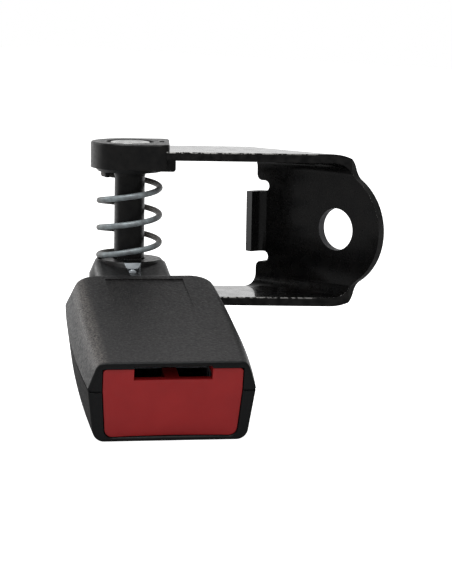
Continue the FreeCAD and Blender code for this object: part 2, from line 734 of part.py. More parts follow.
def face_rim(shape, level):
    """The edges that lie wholly at one level."""
    spans = [(e, e.BoundBox) for e in shape.Edges]
    return [e for e, span in spans if same(span.ZMin, level) and same(span.ZMax, level)]


def rounded_face(form, level, radius):
    """Large rounds along the sides and the rear of a closed face, a small one round the front."""
    form = form.makeFillet(radius, [e for e in face_rim(form, level)
                                    if not same(e.CenterOfMass.x, HOUSE_FRONT)])
    front = [e for e in form.Edges if same(e.BoundBox.XMin, HOUSE_FRONT)]
    return form.makeFillet(LIP_EDGE, [e for e in front if not same(e.CenterOfMass.z, -PARTING_DEPTH)])


def mouth(gap):
    """The block that the button fills, with a clearance all round."""
    top, low = (half + gap for half in BUTTON_HALVES)
    high = -BUTTON_TOP + gap
    floor = -BUTTON_BOTTOM - gap
    rear = BUTTON_REAR - BUTTON_TRAVEL - gap
    corners = [(-top, high), (top, high), (top, -PARTING_DEPTH), (low, floor), (-low, floor),
               (-top, -PARTING_DEPTH)]
    block = prism([(rear, y, z) for y, z in corners], Vector(HOUSE_FRONT + PAST - rear, 0, 0))
    low_edges = [e for e in along(block, X_AXIS) if e.CenterOfMass.z < -PARTING_DEPTH - PAST]
    return block.makeFillet(BUTTON_CORNER + gap, low_edges)


def upper_shell():
    shell = rounded_face(outer_form(TOP_HALVES, 0.0), 0.0, TOP_EDGE)
    shell = shell.cut(cavity_form(TOP_HALVES, SHELL_WALL)).cut(mouth(BUTTON_GAP))
    shell = shell.cut(tongue_slot()).cut(neck_opening()).cut(top_panel())
    rib = box(FRAME_WALL_REAR, RIB_FRONT, RIB_INNER, FRAME_HALF_WIDTH, -PLATE_TOP + RUN_GAP,
              -SHELL_WALL + BOND)
    return whole(shell.fuse(mirrored(rib).Solids + snap_tongues()))


def tongue_slot():
    """The funnel above the button that guides the tongue plate in."""
    throat = HOUSE_FRONT - SLOT_FUNNEL
    outline = [(HOUSE_FRONT + PAST, -NOTCH_FLOOR), (HOUSE_FRONT + PAST, -SLOT_LIP), (HOUSE_FRONT, -SLOT_LIP),
               (throat, -SHELL_WALL), (throat, -NOTCH_FLOOR)]
    return side_prism(outline, -SLOT_HALF_WIDTH, SLOT_HALF_WIDTH)


def top_panel():
    """A shallow wedge-shaped recess in the top face that fades out towards the front."""
    rear = HOUSE_REAR + PANEL_REAR
    front = rear + PANEL_LENGTH
    middle = rear + PANEL_LENGTH * PANEL_BREAK
    shallow = -PANEL_DEPTH * (1 - PANEL_BREAK)
    wide, narrow = PANEL_HALVES
    return prism([(rear, -wide, -PANEL_DEPTH), (rear, wide, -PANEL_DEPTH), (middle, wide, shallow),
                  (front, narrow, 0), (front, -narrow, 0), (middle, -wide, shallow)],
                 Vector(0, 0, SHELL_WALL))


def neck_opening():
    half = NECK_HALF_WIDTH + SEAT_GAP
    return box(HOUSE_REAR - PAST, HOUSE_REAR + SHELL_WALL + BOND, -half, half,
               -NECK_LOW - SEAT_GAP, -NECK_TOP + SEAT_GAP)


def side_half_width(x):
    """How far the housing's outer side stands from its middle plane at the parting line."""
    rear, middle, front = PARTING_HALVES
    share = (x - HOUSE_REAR) / HOUSE_LENGTH
    chord = rear + (front - rear) * share
    bow = middle - (rear + front) / 2
    return chord + bow * (1 - (2 * share - 1) ** 2)


def snap_tongues():
    """Tongues that reach down from the upper shell into the lower one."""
    half = SNAP_WIDTH / 2
    low = -PARTING_DEPTH - SNAP_DEPTH
    tongues = []
    for x in SNAP_PLACES:
        y = side_half_width(x) - SHELL_WALL - SNAP_INSET
        tongue = box(x - half, x + half, y - SNAP_THICKNESS, y, low, -PARTING_DEPTH + SNAP_ROOT)
        tongues += mirrored(tongue).Solids
    return tongues


def parting_groove():
    """The shallow dark joint round the lower shell, just under the parting line."""
    slab = box(-FAR, FAR, -FAR, FAR, -PARTING_DEPTH - GROOVE_HEIGHT, -PARTING_DEPTH)
    rear = HOUSE_REAR + GROOVE_DEPTH
    return slab.cut(shell_form(BOTTOM_HALVES, HOUSE_HEIGHT, rear, HOUSE_FRONT - GROOVE_DEPTH, GROOVE_DEPTH))


def lower_shell():
    shell = rounded_face(outer_form(BOTTOM_HALVES, HOUSE_HEIGHT), -HOUSE_HEIGHT, BOTTOM_EDGE)
    shell = shell.cut(cavity_form(BOTTOM_HALVES, HOUSE_HEIGHT - SHELL_WALL))
    shell = shell.cut(mouth(BUTTON_GAP)).cut(neck_opening()).cut(parting_groove())
    root = FLOOR_LEVEL - BOND
    added = []
    for x0, x1 in ((FRAME_WALL_REAR, EAR_X - EAR_CLEAR), (EAR_X + EAR_CLEAR, RIB_FRONT)):
        added += mirrored(box(x0, x1, RIB_INNER, FRAME_HALF_WIDTH, root, -FRAME_BOTTOM - RUN_GAP)).Solids
    stop = box(BUTTON_SPRING_REAR - STOP_THICKNESS, BUTTON_SPRING_REAR,
               FLEX_ARM_INNER, FLEX_ARM_OUTER + STOP_REACH, root, -FLEX_ARM_TOP)
    mean, wire, _ = LATCH_SPRING
    post = rod(mean - wire - FREE_GAP, Vector(LATCH_SPRING_X, 0, root),
               Vector(LATCH_SPRING_X, 0, FLOOR_LEVEL + POST_HEIGHT))
    return whole(shell.fuse(added + mirrored(stop).Solids + [post]))


# Button, in the housing's frame

def push_button():
    """The hollow red button: face, notch for the tongue plate, and two arms with cam ramps."""
    block = mouth(0.0).common(box(BUTTON_REAR, BUTTON_FRONT, -FAR, FAR, -FAR, 0))
    high = [e for e in along(block, X_AXIS) if same(e.CenterOfMass.z, -BUTTON_TOP)]
    block = block.makeFillet(BUTTON_EDGE, high).cut(button_hollow())
    block = block.cut(box(BUTTON_REAR - PAST, FAR, -SLOT_HALF_WIDTH, SLOT_HALF_WIDTH, -NOTCH_FLOOR, PAST))
    block = block.cut(finger_scoop())
    half = BUTTON_RIB_WIDTH / 2
    face_back = BUTTON_FRONT - BUTTON_WALL
    rib = box(face_back - BUTTON_RIB_DEPTH, face_back + BOND, -half, half,
              -BUTTON_BOTTOM + BUTTON_WALL - BOND, -NOTCH_FLOOR)
    return whole(block.fuse([rib] + mirrored(cam_arm()).Solids))


def button_hollow():
    top, low = (half - BUTTON_WALL for half in BUTTON_HALVES)
    high = -BUTTON_TOP - BUTTON_WALL
    floor = -BUTTON_BOTTOM + BUTTON_WALL
    rear = BUTTON_REAR - PAST
    corners = [(-top, high), (top, high), (top, -PARTING_DEPTH), (low, floor), (-low, floor),
               (-top, -PARTING_DEPTH)]
    return prism([(rear, y, z) for y, z in corners], Vector(BUTTON_FRONT - BUTTON_WALL - rear, 0, 0))


def finger_scoop():
    """A very flat round dish for the finger, whose rim runs up to the notch's corners."""
    return Part.makeSphere(SCOOP_RADIUS, Vector(BUTTON_FRONT + SCOOP_RADIUS - SCOOP_DEPTH, 0, -SCOOP_CENTRE))


def cam_arm():
    """One side arm: its lower edge is a ramp that pushes the latch's ear down."""
    slope = EAR_LEVER * math.sin(TILT_RAD) / BUTTON_TRAVEL
    above_ear = (EAR_RADIUS + FREE_GAP) / math.cos(math.atan(slope)) - LATCH_PIVOT_DEPTH
    ramp_front = EAR_X + BUTTON_TRAVEL + RAMP_TAIL
    low = above_ear - slope * (ramp_front - EAR_X)
    high = above_ear + slope * RAMP_LEAD
    pad = FLEX_ARM_REAR + ARM_PAD
    front = BUTTON_REAR + FLEX_ARM_ROOT
    block_low = low - RAMP_HEIGHT
    arm = side_prism([(FLEX_ARM_REAR, -FLEX_ARM_TOP), (front, -FLEX_ARM_TOP), (front, block_low),
                      (ramp_front + RAMP_BACK, block_low), (ramp_front, low), (EAR_X - RAMP_LEAD, high),
                      (pad, high), (pad, -ARM_PAD_BOTTOM), (FLEX_ARM_REAR, -ARM_PAD_BOTTOM)],
                     FLEX_ARM_INNER, FLEX_ARM_OUTER)
    seat = box(FLEX_ARM_REAR, pad, FLEX_ARM_INNER, FLEX_ARM_INNER + ARM_PAD_WIDTH, -ARM_PAD_BOTTOM,
               -FLEX_ARM_TOP)
    shoulder = box(BUTTON_REAR - ARM_SHOULDER, front, FLEX_ARM_INNER, BUTTON_HALVES[0] - ARM_SIDE_GAP,
                   block_low, -FLEX_ARM_TOP)
    return arm.fuse([seat, shoulder])


def button_springs():
    mean, wire, turns = BUTTON_SPRING
    length = FLEX_ARM_REAR - BUTTON_SPRING_REAR - 2 * RUN_GAP
    y = FLEX_ARM_INNER + mean + wire + BUTTON_SPRING_GAP
    start = Vector(BUTTON_SPRING_REAR + RUN_GAP, y, -BUTTON_SPRING_DEPTH)
    return mirrored(moved(coil(mean, wire, turns, length), Placement(start, Rotation(Y_AXIS, 90))))


# Steel frame, latch and ejector, in the housing's frame

def frame_channel():
    """The folded plate with both walls turned down, before its holes."""
    half = FRAME_HALF_WIDTH
    plate = box(FRAME_REAR, FRAME_FRONT, -half, half, -FRAME_BOTTOM, -PLATE_TOP)
    plate = plate.makeFillet(FRAME_OUTER_BEND, [e for e in along(plate, X_AXIS)
                                                if same(e.CenterOfMass.z, -PLATE_TOP)])
    inside = box(FRAME_REAR - PAST, FRAME_FRONT + PAST, -FRAME_INNER, FRAME_INNER, -FRAME_BOTTOM - PAST,
                 -STRAP_TOP)
    inside = inside.makeFillet(FRAME_BEND, [e for e in along(inside, X_AXIS)
                                            if same(e.CenterOfMass.z, -STRAP_TOP)])
    plate = plate.cut(inside)
    plate = plate.cut(box(FRAME_REAR - PAST, FRAME_WALL_REAR, -FAR, FAR, -FAR, -STRAP_TOP))
    outline = box(FRAME_REAR, FAR, -half, half, -FAR, 0)
    corners = [e for e in along(outline, Z_AXIS) if same(e.CenterOfMass.x, FRAME_REAR)]
    return plate.common(outline.makeFillet(FRAME_CORNER, corners))


def frame():
    """The channel, windowed for the tooth, slotted for the ejector and notched for the ears."""
    plate = frame_channel()
    window = box(TOOTH_REAR - WINDOW_REAR_GAP, TOOTH_FRONT + WINDOW_FRONT_GAP,
                 -WINDOW_HALF_WIDTH, WINDOW_HALF_WIDTH, -STRAP_TOP - PAST, 0)
    guide = box(GUIDE_REAR, TOOTH_REAR, -GUIDE_HALF_WIDTH, GUIDE_HALF_WIDTH, -STRAP_TOP - PAST, 0)
    plate = plate.cut(window).cut(guide)
    for x in STRAP_RIVETS:
        plate = plate.cut(rivet_hole(x))
    plate = plate.cut(cross_rod(LATCH_PIN_RADIUS + PRESS_GAP, LATCH_PIVOT_X, LATCH_PIVOT_DEPTH, FAR))
    ear_gap = EAR_RADIUS + FREE_GAP
    ear_slot = box(EAR_X - ear_gap - EAR_SETBACK, EAR_X + ear_gap, -FAR, FAR, -FAR,
                   -LATCH_PIVOT_DEPTH + ear_gap)
    return whole(plate.cut(ear_slot))


def latch_pin():
    return cross_rod(LATCH_PIN_RADIUS, LATCH_PIVOT_X, LATCH_PIVOT_DEPTH, FRAME_HALF_WIDTH)


def latch():
    """A hinged plate with an upturned tooth, two side ears and a rolled eye round its pin."""
    depth = LATCH_PIVOT_DEPTH
    low = -depth - LATCH_THICKNESS / 2
    plate = box(LATCH_PIVOT_X, TOOTH_FRONT, -LATCH_HALF_WIDTH, LATCH_HALF_WIDTH, low, low + LATCH_THICKNESS)
    eye = cross_rod(LATCH_EYE_RADIUS, LATCH_PIVOT_X, depth, LATCH_HALF_WIDTH)
    tooth = side_prism([(TOOTH_REAR, low), (TOOTH_FRONT, low), (TOOTH_FRONT, -TOOTH_TIP - TOOTH_RAMP),
                        (TOOTH_REAR + TOOTH_FLAT, -TOOTH_TIP), (TOOTH_REAR, -TOOTH_TIP)],
                       -TOOTH_HALF_WIDTH, TOOTH_HALF_WIDTH)
    ears = cross_rod(EAR_RADIUS, EAR_X, depth, FLEX_ARM_OUTER - EAR_SETBACK)
    body = plate.fuse([eye, tooth, ears])
    return whole(body.cut(cross_rod(LATCH_PIN_RADIUS + RUN_GAP, LATCH_PIVOT_X, depth, FAR)))


def latch_spring():
    """A short coil spring on a post of the lower shell, pushing the latch up."""
    mean, wire, turns = LATCH_SPRING
    floor = FLOOR_LEVEL + RUN_GAP
    ceiling = -LATCH_PIVOT_DEPTH - LATCH_THICKNESS / 2 - RUN_GAP
    spring = coil(mean, wire, turns, ceiling - floor)
    spring.translate(Vector(LATCH_SPRING_X, 0, floor))
    return spring


def ejector():
    """A plastic slider on the frame's plate, with a foot under the guide slot."""
    half = EJECTOR_HALF_WIDTH
    body = box(EJECTOR_REAR, EJECTOR_FRONT, -half, half, -PLATE_TOP + RUN_GAP, -EJECTOR_TOP)
    body = body.makeFillet(EJECTOR_CORNER, along(body, Z_AXIS))
    foot_top = -STRAP_TOP - FREE_GAP
    front = EJECTOR_FRONT - EJECTOR_OVERHANG
    stem = box(EJECTOR_REAR, front, -EJECTOR_NECK, EJECTOR_NECK, foot_top - BOND, -PLATE_TOP + BOND)
    foot = box(EJECTOR_REAR, front, -EJECTOR_FOOT, EJECTOR_FOOT, foot_top - EJECTOR_FOOT_HEIGHT, foot_top)
    return whole(body.fuse([stem, foot]))


def ejector_spring():
    mean, wire, turns = EJECTOR_SPRING
    length = EJECTOR_REAR - GUIDE_REAR - 2 * RUN_GAP
    start = Vector(GUIDE_REAR + RUN_GAP, 0, -(PLATE_TOP + STRAP_TOP) / 2)
    return moved(coil(mean, wire, turns, length), Placement(start, Rotation(Y_AXIS, 90)))


def build_all():
    strap = anchor_strap()
    bush = pivot_bush()
    on_bracket = {"pivot_rivet": pivot_rivet, "pivot_cap": pivot_cap, "spacer_bush": spacer_bush,
                  "return_spring": return_spring, "thrust_washer": thrust_washer}
    on_stalk = {"anchor_strap": strap, "pivot_bush": bush, "neck_collar": neck_collar(strap, bush)}
    inside_housing = {"strap_rivets": strap_rivets, "upper_shell": upper_shell, "lower_shell": lower_shell,
                      "push_button": push_button, "button_springs": button_springs, "frame": frame,
                      "latch_pin": latch_pin, "latch": latch, "latch_spring": latch_spring,
                      "ejector": ejector, "ejector_spring": ejector_spring}
    nodes = {"bracket": bracket()}
    nodes.update({name: on_pin(make()) for name, make in on_bracket.items()})
    nodes.update({name: on_pin(shape, HEADING) for name, shape in on_stalk.items()})
    nodes.update({name: in_housing(make()) for name, make in inside_housing.items()})
    return nodes


os.makedirs("parts", exist_ok=True)
for node, solid in build_all().items():
    solid.exportStep("parts/" + node + ".step")
    print(node, "solids", len(solid.Solids), "valid", solid.isValid(), "volume", round(solid.Volume, 1))
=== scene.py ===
import json
import math
import bpy
from mathutils import Matrix, Vector


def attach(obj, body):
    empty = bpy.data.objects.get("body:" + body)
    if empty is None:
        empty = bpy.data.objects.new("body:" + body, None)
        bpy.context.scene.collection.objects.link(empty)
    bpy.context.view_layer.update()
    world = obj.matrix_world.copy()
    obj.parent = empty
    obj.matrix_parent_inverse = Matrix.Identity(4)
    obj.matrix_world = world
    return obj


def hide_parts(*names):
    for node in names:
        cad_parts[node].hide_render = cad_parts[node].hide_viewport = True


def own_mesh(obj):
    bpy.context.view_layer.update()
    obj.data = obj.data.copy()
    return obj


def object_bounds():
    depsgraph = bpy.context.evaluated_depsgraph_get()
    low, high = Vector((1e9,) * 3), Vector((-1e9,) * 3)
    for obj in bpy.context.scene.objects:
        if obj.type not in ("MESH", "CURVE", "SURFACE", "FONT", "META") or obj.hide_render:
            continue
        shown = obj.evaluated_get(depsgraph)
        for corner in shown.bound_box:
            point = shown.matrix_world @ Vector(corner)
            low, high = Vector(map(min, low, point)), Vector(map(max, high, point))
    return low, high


# A seat belt buckle on its stalk, over the level floor of a white studio.
# Lengths are in metres, in the frame of the bolt hole.

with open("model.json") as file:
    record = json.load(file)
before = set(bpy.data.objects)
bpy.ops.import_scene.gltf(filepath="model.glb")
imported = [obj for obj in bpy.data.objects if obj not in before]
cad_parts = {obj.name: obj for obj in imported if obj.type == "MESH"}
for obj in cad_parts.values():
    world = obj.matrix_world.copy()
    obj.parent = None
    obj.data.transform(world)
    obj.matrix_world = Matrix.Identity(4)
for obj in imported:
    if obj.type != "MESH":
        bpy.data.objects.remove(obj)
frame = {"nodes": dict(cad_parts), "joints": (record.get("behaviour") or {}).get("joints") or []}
CAD_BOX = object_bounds()
NODES = frame["nodes"]
JOINTS = {joint["name"]: joint for joint in frame["joints"]}
MM = 0.001

# The frame of the swivel pin: X runs along the bracket's arms and Z = 0 on the lower arm
ARM_ANGLE = math.radians(42.0)
ARM_GAP = 38.5 * MM
PIN = Vector(JOINTS["buckle_swing"]["pos_m"])
PIN_BASE = Matrix.Translation(PIN - Vector((0, 0, ARM_GAP / 2)))
PIN_FRAME = PIN_BASE @ Matrix.Rotation(ARM_ANGLE, 4, "Z")

# The frame of the housing: X forward to the button, Z = 0 on its top face
FORWARD = -Vector(JOINTS["button_press"]["axis"]).normalized()
ACROSS = Vector(JOINTS["latch_tilt"]["axis"]).normalized()
UP = FORWARD.cross(ACROSS)
LATCH_PIVOT_X = 54.0 * MM
LATCH_PIVOT_DEPTH = 12.2 * MM
HOUSE_ORIGIN = Vector(JOINTS["latch_tilt"]["pos_m"]) - FORWARD * LATCH_PIVOT_X + UP * LATCH_PIVOT_DEPTH
HOUSE_FRAME = Matrix.Translation(HOUSE_ORIGIN) @ Matrix((FORWARD, ACROSS, UP)).transposed().to_4x4()

# The frames of the stalk, with X along it, and of the bolt hole, with Z along it
STALK_FRAME = PIN_BASE @ Matrix.Rotation(math.atan2(FORWARD.y, FORWARD.x), 4, "Z")
HOLE_FRAME = Matrix.Rotation(math.pi / 2, 4, "X")

# Camera, in the frame of the swivel pin
CAMERA_PLACE = Vector((4.50, -635.67, 97.79)) * MM
CAMERA_YAW = 0.0372
CAMERA_PITCH = 0.153
CAMERA_ROLL = 0.0178
CAMERA_LENS = 137.23
CAMERA_NEAREST = 0.01

# Lamps: name, place in the frame of the swivel pin, watts and width
LAMPS = (("key", (-0.15, -0.40, 0.80), 4.0, 0.6),
         ("left", (-0.60, 0.25, 0.28), 0.8, 0.4))

# Directions in the frame of the swivel pin
BACKWARD = (0, 1, 0)
UPWARD = (0, 0, 1)

# Surroundings: how bright they are to matt and glossy surfaces, and where they turn dim
WHITE = (1, 1, 1, 1)
DIFFUSE_AMBIENT = 0.45
FRONT_DIM = 0.05
OVERHEAD_DIM = 0.42
BEHIND_START = 0.3
BEHIND_FULL = 0.8
LOW_FULL = 0.22
LOW_END = 0.5

# Floor: its paper, how far back the pin lies, and how far behind it the paper is white in gloss
FLOOR_SIZE = 3.0
FLOOR_GAP = 0.1 * MM
PAPER = (0.9, 0.9, 0.9, 1)
PAPER_MIRRORED = (0.22, 0.22, 0.22, 1)
PAPER_ROUGHNESS = 0.9
PIN_BACKWARD = PIN_FRAME.to_3x3().col[1].dot(PIN)
WHITE_FROM_PIN = 0.2

# Return spring on the swivel pin
COIL_RADIUS = 8.65 * MM
WIRE_RADIUS = 0.85 * MM
COIL_PITCH = 7.85 * MM
COIL_TURNS = 2.85
COIL_EASE = 0.25
COIL_REST = math.radians(80.0)
COIL_START = math.radians(180.0)
COIL_LOW = 10.2 * MM
COIL_STEPS = 40
WIRE_FACETS = 16
LEG_LENGTH = 3.5 * MM
LEG_RISE = 0.5 * MM

# Plated plate and pin end in the collar's window, in the stalk's frame
PLATE_BACK = 7.42 * MM
PLATE_FRONT = 8.5 * MM
PLATE_TOP = 8.9 * MM
PLATE_BOTTOM = 7.3 * MM
PLATE_WIDE = 3.1 * MM
PLATE_NARROW = 1.5 * MM
PLATE_LEAN = 0.3
PIN_END_RADIUS = 1.15 * MM
PIN_END_FRONT = 8.9 * MM
PIN_END_HEIGHT = 6.0 * MM
PIN_END_FACETS = 32

# Outlines turned about the pin, as radius and height in mm: the rivet's rolled end and the cap's inset ring
TURN_STEPS = 96
ROLLED_END = ((0.35, 22.86), (3.5, 22.86), (3.9, 23.26), (5.3, 23.26), (5.6, 23.42), (5.5, 23.56),
              (5.2, 23.62), (4.6, 23.62), (4.2, 23.52), (1.6, 23.50), (1.3, 23.57), (0.35, 23.58))
INSET_RING = ((6.80, 23.30), (8.15, 23.30), (8.48, 23.62), (8.40, 23.66), (6.95, 23.66), (6.80, 23.58))

# Widths of the roundings, and the steps in each
BRACKET_ROUNDING = 0.35 * MM
SHELL_ROUNDING = 0.18 * MM
BUTTON_ROUNDING = 0.25 * MM
CAP_ROUNDING = 0.12 * MM
PLATE_ROUNDING = 0.12 * MM
PIN_END_ROUNDING = 0.3 * MM
ROUNDING_STEPS = 3

# Two faces that meet at more than this angle make a corner. A rounding is left out beside an edge
# shorter than TIGHT times its width, and ROOMY stands for a point with no such edge.
CORNER = math.radians(32)
TIGHT = 1.3
ROOMY = 1.0

# Points closer than this are one, and faces within this angle are one face
MERGED = 0.002 * MM
MERGED_TURNED = 0.001 * MM
LEVEL = math.radians(0.5)

# How far the shading of a rounding leans to the large face beside it, from 1 to 100
LARGE_FACE_WEIGHT = 100

# Bracket sheet: its finishes' slots, and how its cut faces and its tab are told from the rest
SHEET = 2.5 * MM
PAINT_SLOT = 0
BURR_HIGHLIGHT_SLOT = 1
CUT_SLOT = 2
DULL_SHADED_SLOT = 3
HOLE_RADIUS = 6 * MM
TAB_HALF = 8.8 * MM
TAB_START_X = -25.2 * MM
TAB_SLACK = 0.05 * MM
BEHIND_FACE = 0.1 * MM
CUT_SIDE_SLOPE = 0.3
CUT_END_SLOPE = 0.5
# Burr faces that rise and lean forward past these keep the painted highlight; the rest get the painted-shade
# copy
BURR_LIT_RISE = 0.25
BURR_LIT_LEAN = 0.2

# The scraped line along the front edges of the bracket's arms, painted pale as their highlight too, from the
# pin towards the bend
ARM_HALF = 10.6 * MM
BURR_HIGHLIGHT_REACH = 0.55 * MM
BURR_HIGHLIGHT_BEGIN = 9 * MM
BURR_HIGHLIGHT_BEGIN_FADE = 2 * MM
BURR_HIGHLIGHT_END = 52 * MM
BURR_HIGHLIGHT_END_FADE = 3 * MM
BURR_HIGHLIGHT_STRONG = 14 * MM
BURR_HIGHLIGHT_FAINT = 46 * MM
BURR_HIGHLIGHT_FAINTNESS = 0.35
BURR_HIGHLIGHT_PATCH = 1.0 * MM
SCRAPED_AND_HIGHLIT = (0.72, 0.71, 0.68)

# A painted reflection on the bolt hole's wall, paler grey than the other cut faces
HOLE_WALL_REFLECTION_REACH = 0.5 * MM
HOLE_WALL_REFLECTION = (0.060, 0.060, 0.064)

# Dust on the housing's top, thicker to the front, and pale specks all over it
DUST_START = 30 * MM
DUST_FULL = 92 * MM
DUST_LOW = -3.0 * MM
DUST_HIGH = -1.0 * MM
DUST_SHARE = 0.75
DUST = (0.038, 0.037, 0.038)
SPECK_SHARE = 0.6
SPECK = (0.100, 0.096, 0.094)

# Where the housing's one top edge is rubbed paler and carries a painted highlight, across it and below its top
WEAR_HIGHLIGHT_INNER = 15.6 * MM
WEAR_HIGHLIGHT_OUTER = 17.6 * MM
WEAR_HIGHLIGHT_LOW = -3.6 * MM
WEAR_HIGHLIGHT_HIGH = -1.2 * MM
RUBBED_AND_HIGHLIT = (0.165, 0.150, 0.138)

# The soft lip at the front of the housing's top, bent down by a bump, and painted shade over the housing's
# front
LIP_START = 92.7 * MM
LIP_END = 94.7 * MM
LIP_DROP = 1.5 * MM
LIP_FADE = 0.8 * MM
LIP_SHADE = (0.0045, 0.0055, 0.0065)

# The return spring's wire is browner behind the pin
BROWN_START = -7.5 * MM
BROWN_FULL = -1.0 * MM
BROWN_WIRE = (0.13, 0.12, 0.11)
DRAWN = (1, 1, 5)

# Painted shade in the ring pressed into the rivet's head
RIVET_GROOVE = 2.9 * MM
RIVET_GROOVE_REACH = 1.3 * MM
RIVET_GROOVE_SHADE = (0.30, 0.30, 0.30)


def deselect():
    bpy.ops.object.select_all(action="DESELECT")


def only(obj):
    """Makes one object the selected and active one."""
    deselect()
    obj.select_set(True)
    bpy.context.view_layer.objects.active = obj


def smooth(degrees):
    """Smooth shading over every edge that is less sharp than an angle."""
    bpy.ops.object.shade_smooth_by_angle(angle=math.radians(degrees))


# Camera, light and floor

def camera_frame():
    """The camera's axes in the frame of the bolt hole, from its place, yaw, pitch and roll on the pin."""
    ahead = Vector((math.sin(CAMERA_YAW) * math.cos(CAMERA_PITCH),
                    math.cos(CAMERA_YAW) * math.cos(CAMERA_PITCH), -math.sin(CAMERA_PITCH)))
    right = Vector((math.cos(CAMERA_YAW), -math.sin(CAMERA_YAW), 0))
    up = right.cross(ahead)
    rolled_right = right * math.cos(CAMERA_ROLL) + up * math.sin(CAMERA_ROLL)
    rolled_up = up * math.cos(CAMERA_ROLL) - right * math.sin(CAMERA_ROLL)
    turn = Matrix((rolled_right, rolled_up, -ahead)).transposed().to_4x4()
    return PIN_FRAME @ Matrix.Translation(CAMERA_PLACE) @ turn


def make_camera():
    data = bpy.data.cameras.new("camera")
    data.lens = CAMERA_LENS
    data.clip_start = CAMERA_NEAREST
    camera = bpy.data.objects.new("camera", data)
    bpy.context.scene.collection.objects.link(camera)
    camera.matrix_world = camera_frame()
    bpy.context.scene.camera = camera


def make_lamp(name, place, power, size):
    """A square soft box at a place in the pin's frame, turned to the buckle."""
    data = bpy.data.lights.new(name, "AREA")
    data.energy = power
    data.size = size
    lamp = bpy.data.objects.new(name, data)
    bpy.context.scene.collection.objects.link(lamp)
    at = PIN_FRAME @ Vector(place)
    lamp.location = at
    lamp.rotation_euler = (PIN - at).to_track_quat("-Z", "Y").to_euler()


def toward(tree, coords, way, near, far, low, high):
    """How bright the surroundings are by how far they lie along a direction of the pin's frame."""
    along = tree.nodes.new("ShaderNodeVectorMath")
    along.operation = "DOT_PRODUCT"
    along.inputs[1].default_value = (PIN_FRAME.to_3x3() @ Vector(way))[:]
    tree.links.new(coords, along.inputs[0])
    spread = tree.nodes.new("ShaderNodeMapRange")
    spread.inputs["From Min"].default_value = near
    spread.inputs["From Max"].default_value = far
    spread.inputs["To Min"].default_value = low
    spread.inputs["To Max"].default_value = high
    tree.links.new(along.outputs["Value"], spread.inputs["Value"])
    return spread.outputs["Result"]


def joined(tree, operation, first, second):
    """Two outputs joined by one step of arithmetic."""
    node = tree.nodes.new("ShaderNodeMath")
    node.operation = operation
    tree.links.new(first, node.inputs[0])
    tree.links.new(second, node.inputs[1])
    return node.outputs[0]


def make_world():
    """White to the camera. In reflections it is white low behind the object, dimmer overhead and in front."""
    world = bpy.data.worlds.new("studio")
    world.use_nodes = True
    tree = world.node_tree
    tree.nodes.clear()
    path = tree.nodes.new("ShaderNodeLightPath")
    way = tree.nodes.new("ShaderNodeTexCoord").outputs["Generated"]
    behind = toward(tree, way, BACKWARD, BEHIND_START, BEHIND_FULL, FRONT_DIM, 1.0)
    low = toward(tree, way, UPWARD, LOW_FULL, LOW_END, 1.0, OVERHEAD_DIM)
    glossy = tree.nodes.new("ShaderNodeMix")
    glossy.inputs["A"].default_value = DIFFUSE_AMBIENT
    tree.links.new(path.outputs["Is Glossy Ray"], glossy.inputs["Factor"])
    tree.links.new(joined(tree, "MULTIPLY", behind, low), glossy.inputs["B"])
    seen = joined(tree, "MAXIMUM", path.outputs["Is Camera Ray"], path.outputs["Is Transmission Ray"])
    background = tree.nodes.new("ShaderNodeBackground")
    background.inputs["Color"].default_value = WHITE
    tree.links.new(joined(tree, "MAXIMUM", seen, glossy.outputs[0]), background.inputs["Strength"])
    output = tree.nodes.new("ShaderNodeOutputWorld")
    tree.links.new(background.outputs[0], output.inputs["Surface"])
    bpy.context.scene.world = world


def floor_paper():
    """Pale paper, white to the camera, and white in gloss where it lies behind the pin."""
    mat = bpy.data.materials.new("floor_paper")
    mat.use_nodes = True
    tree = mat.node_tree
    shader = tree.nodes["Principled BSDF"]
    shader.inputs["Roughness"].default_value = PAPER_ROUGHNESS
    shader.inputs["Specular IOR Level"].default_value = 0.0
    shader.inputs["Emission Color"].default_value = WHITE
    path = tree.nodes.new("ShaderNodeLightPath")
    paper = tree.nodes.new("ShaderNodeMixRGB")
    paper.inputs["Color1"].default_value = PAPER
    paper.inputs["Color2"].default_value = PAPER_MIRRORED
    tree.links.new(path.outputs["Is Glossy Ray"], paper.inputs["Fac"])
    tree.links.new(paper.outputs["Color"], shader.inputs["Base Color"])
    place = tree.nodes.new("ShaderNodeTexCoord").outputs["Object"]
    behind = toward(tree, place, BACKWARD, PIN_BACKWARD, PIN_BACKWARD + WHITE_FROM_PIN, 0.0, 1.0)
    mirrored = joined(tree, "MULTIPLY", path.outputs["Is Glossy Ray"], behind)
    glow = joined(tree, "MAXIMUM", path.outputs["Is Camera Ray"], mirrored)
    tree.links.new(glow, shader.inputs["Emission Strength"])
    return mat


def make_floor():
    """A pale level floor under the housing's lowest edge, which stays clear of it however the stalk swings."""
    deselect()
    bpy.ops.mesh.primitive_plane_add(size=FLOOR_SIZE)
    floor = bpy.context.object
    floor.name = "floor"
    floor.data.transform(Matrix.Translation((PIN.x, PIN.y, CAD_BOX[0][2] - FLOOR_GAP)))
    floor.data.materials.append(floor_paper())


# Finishes

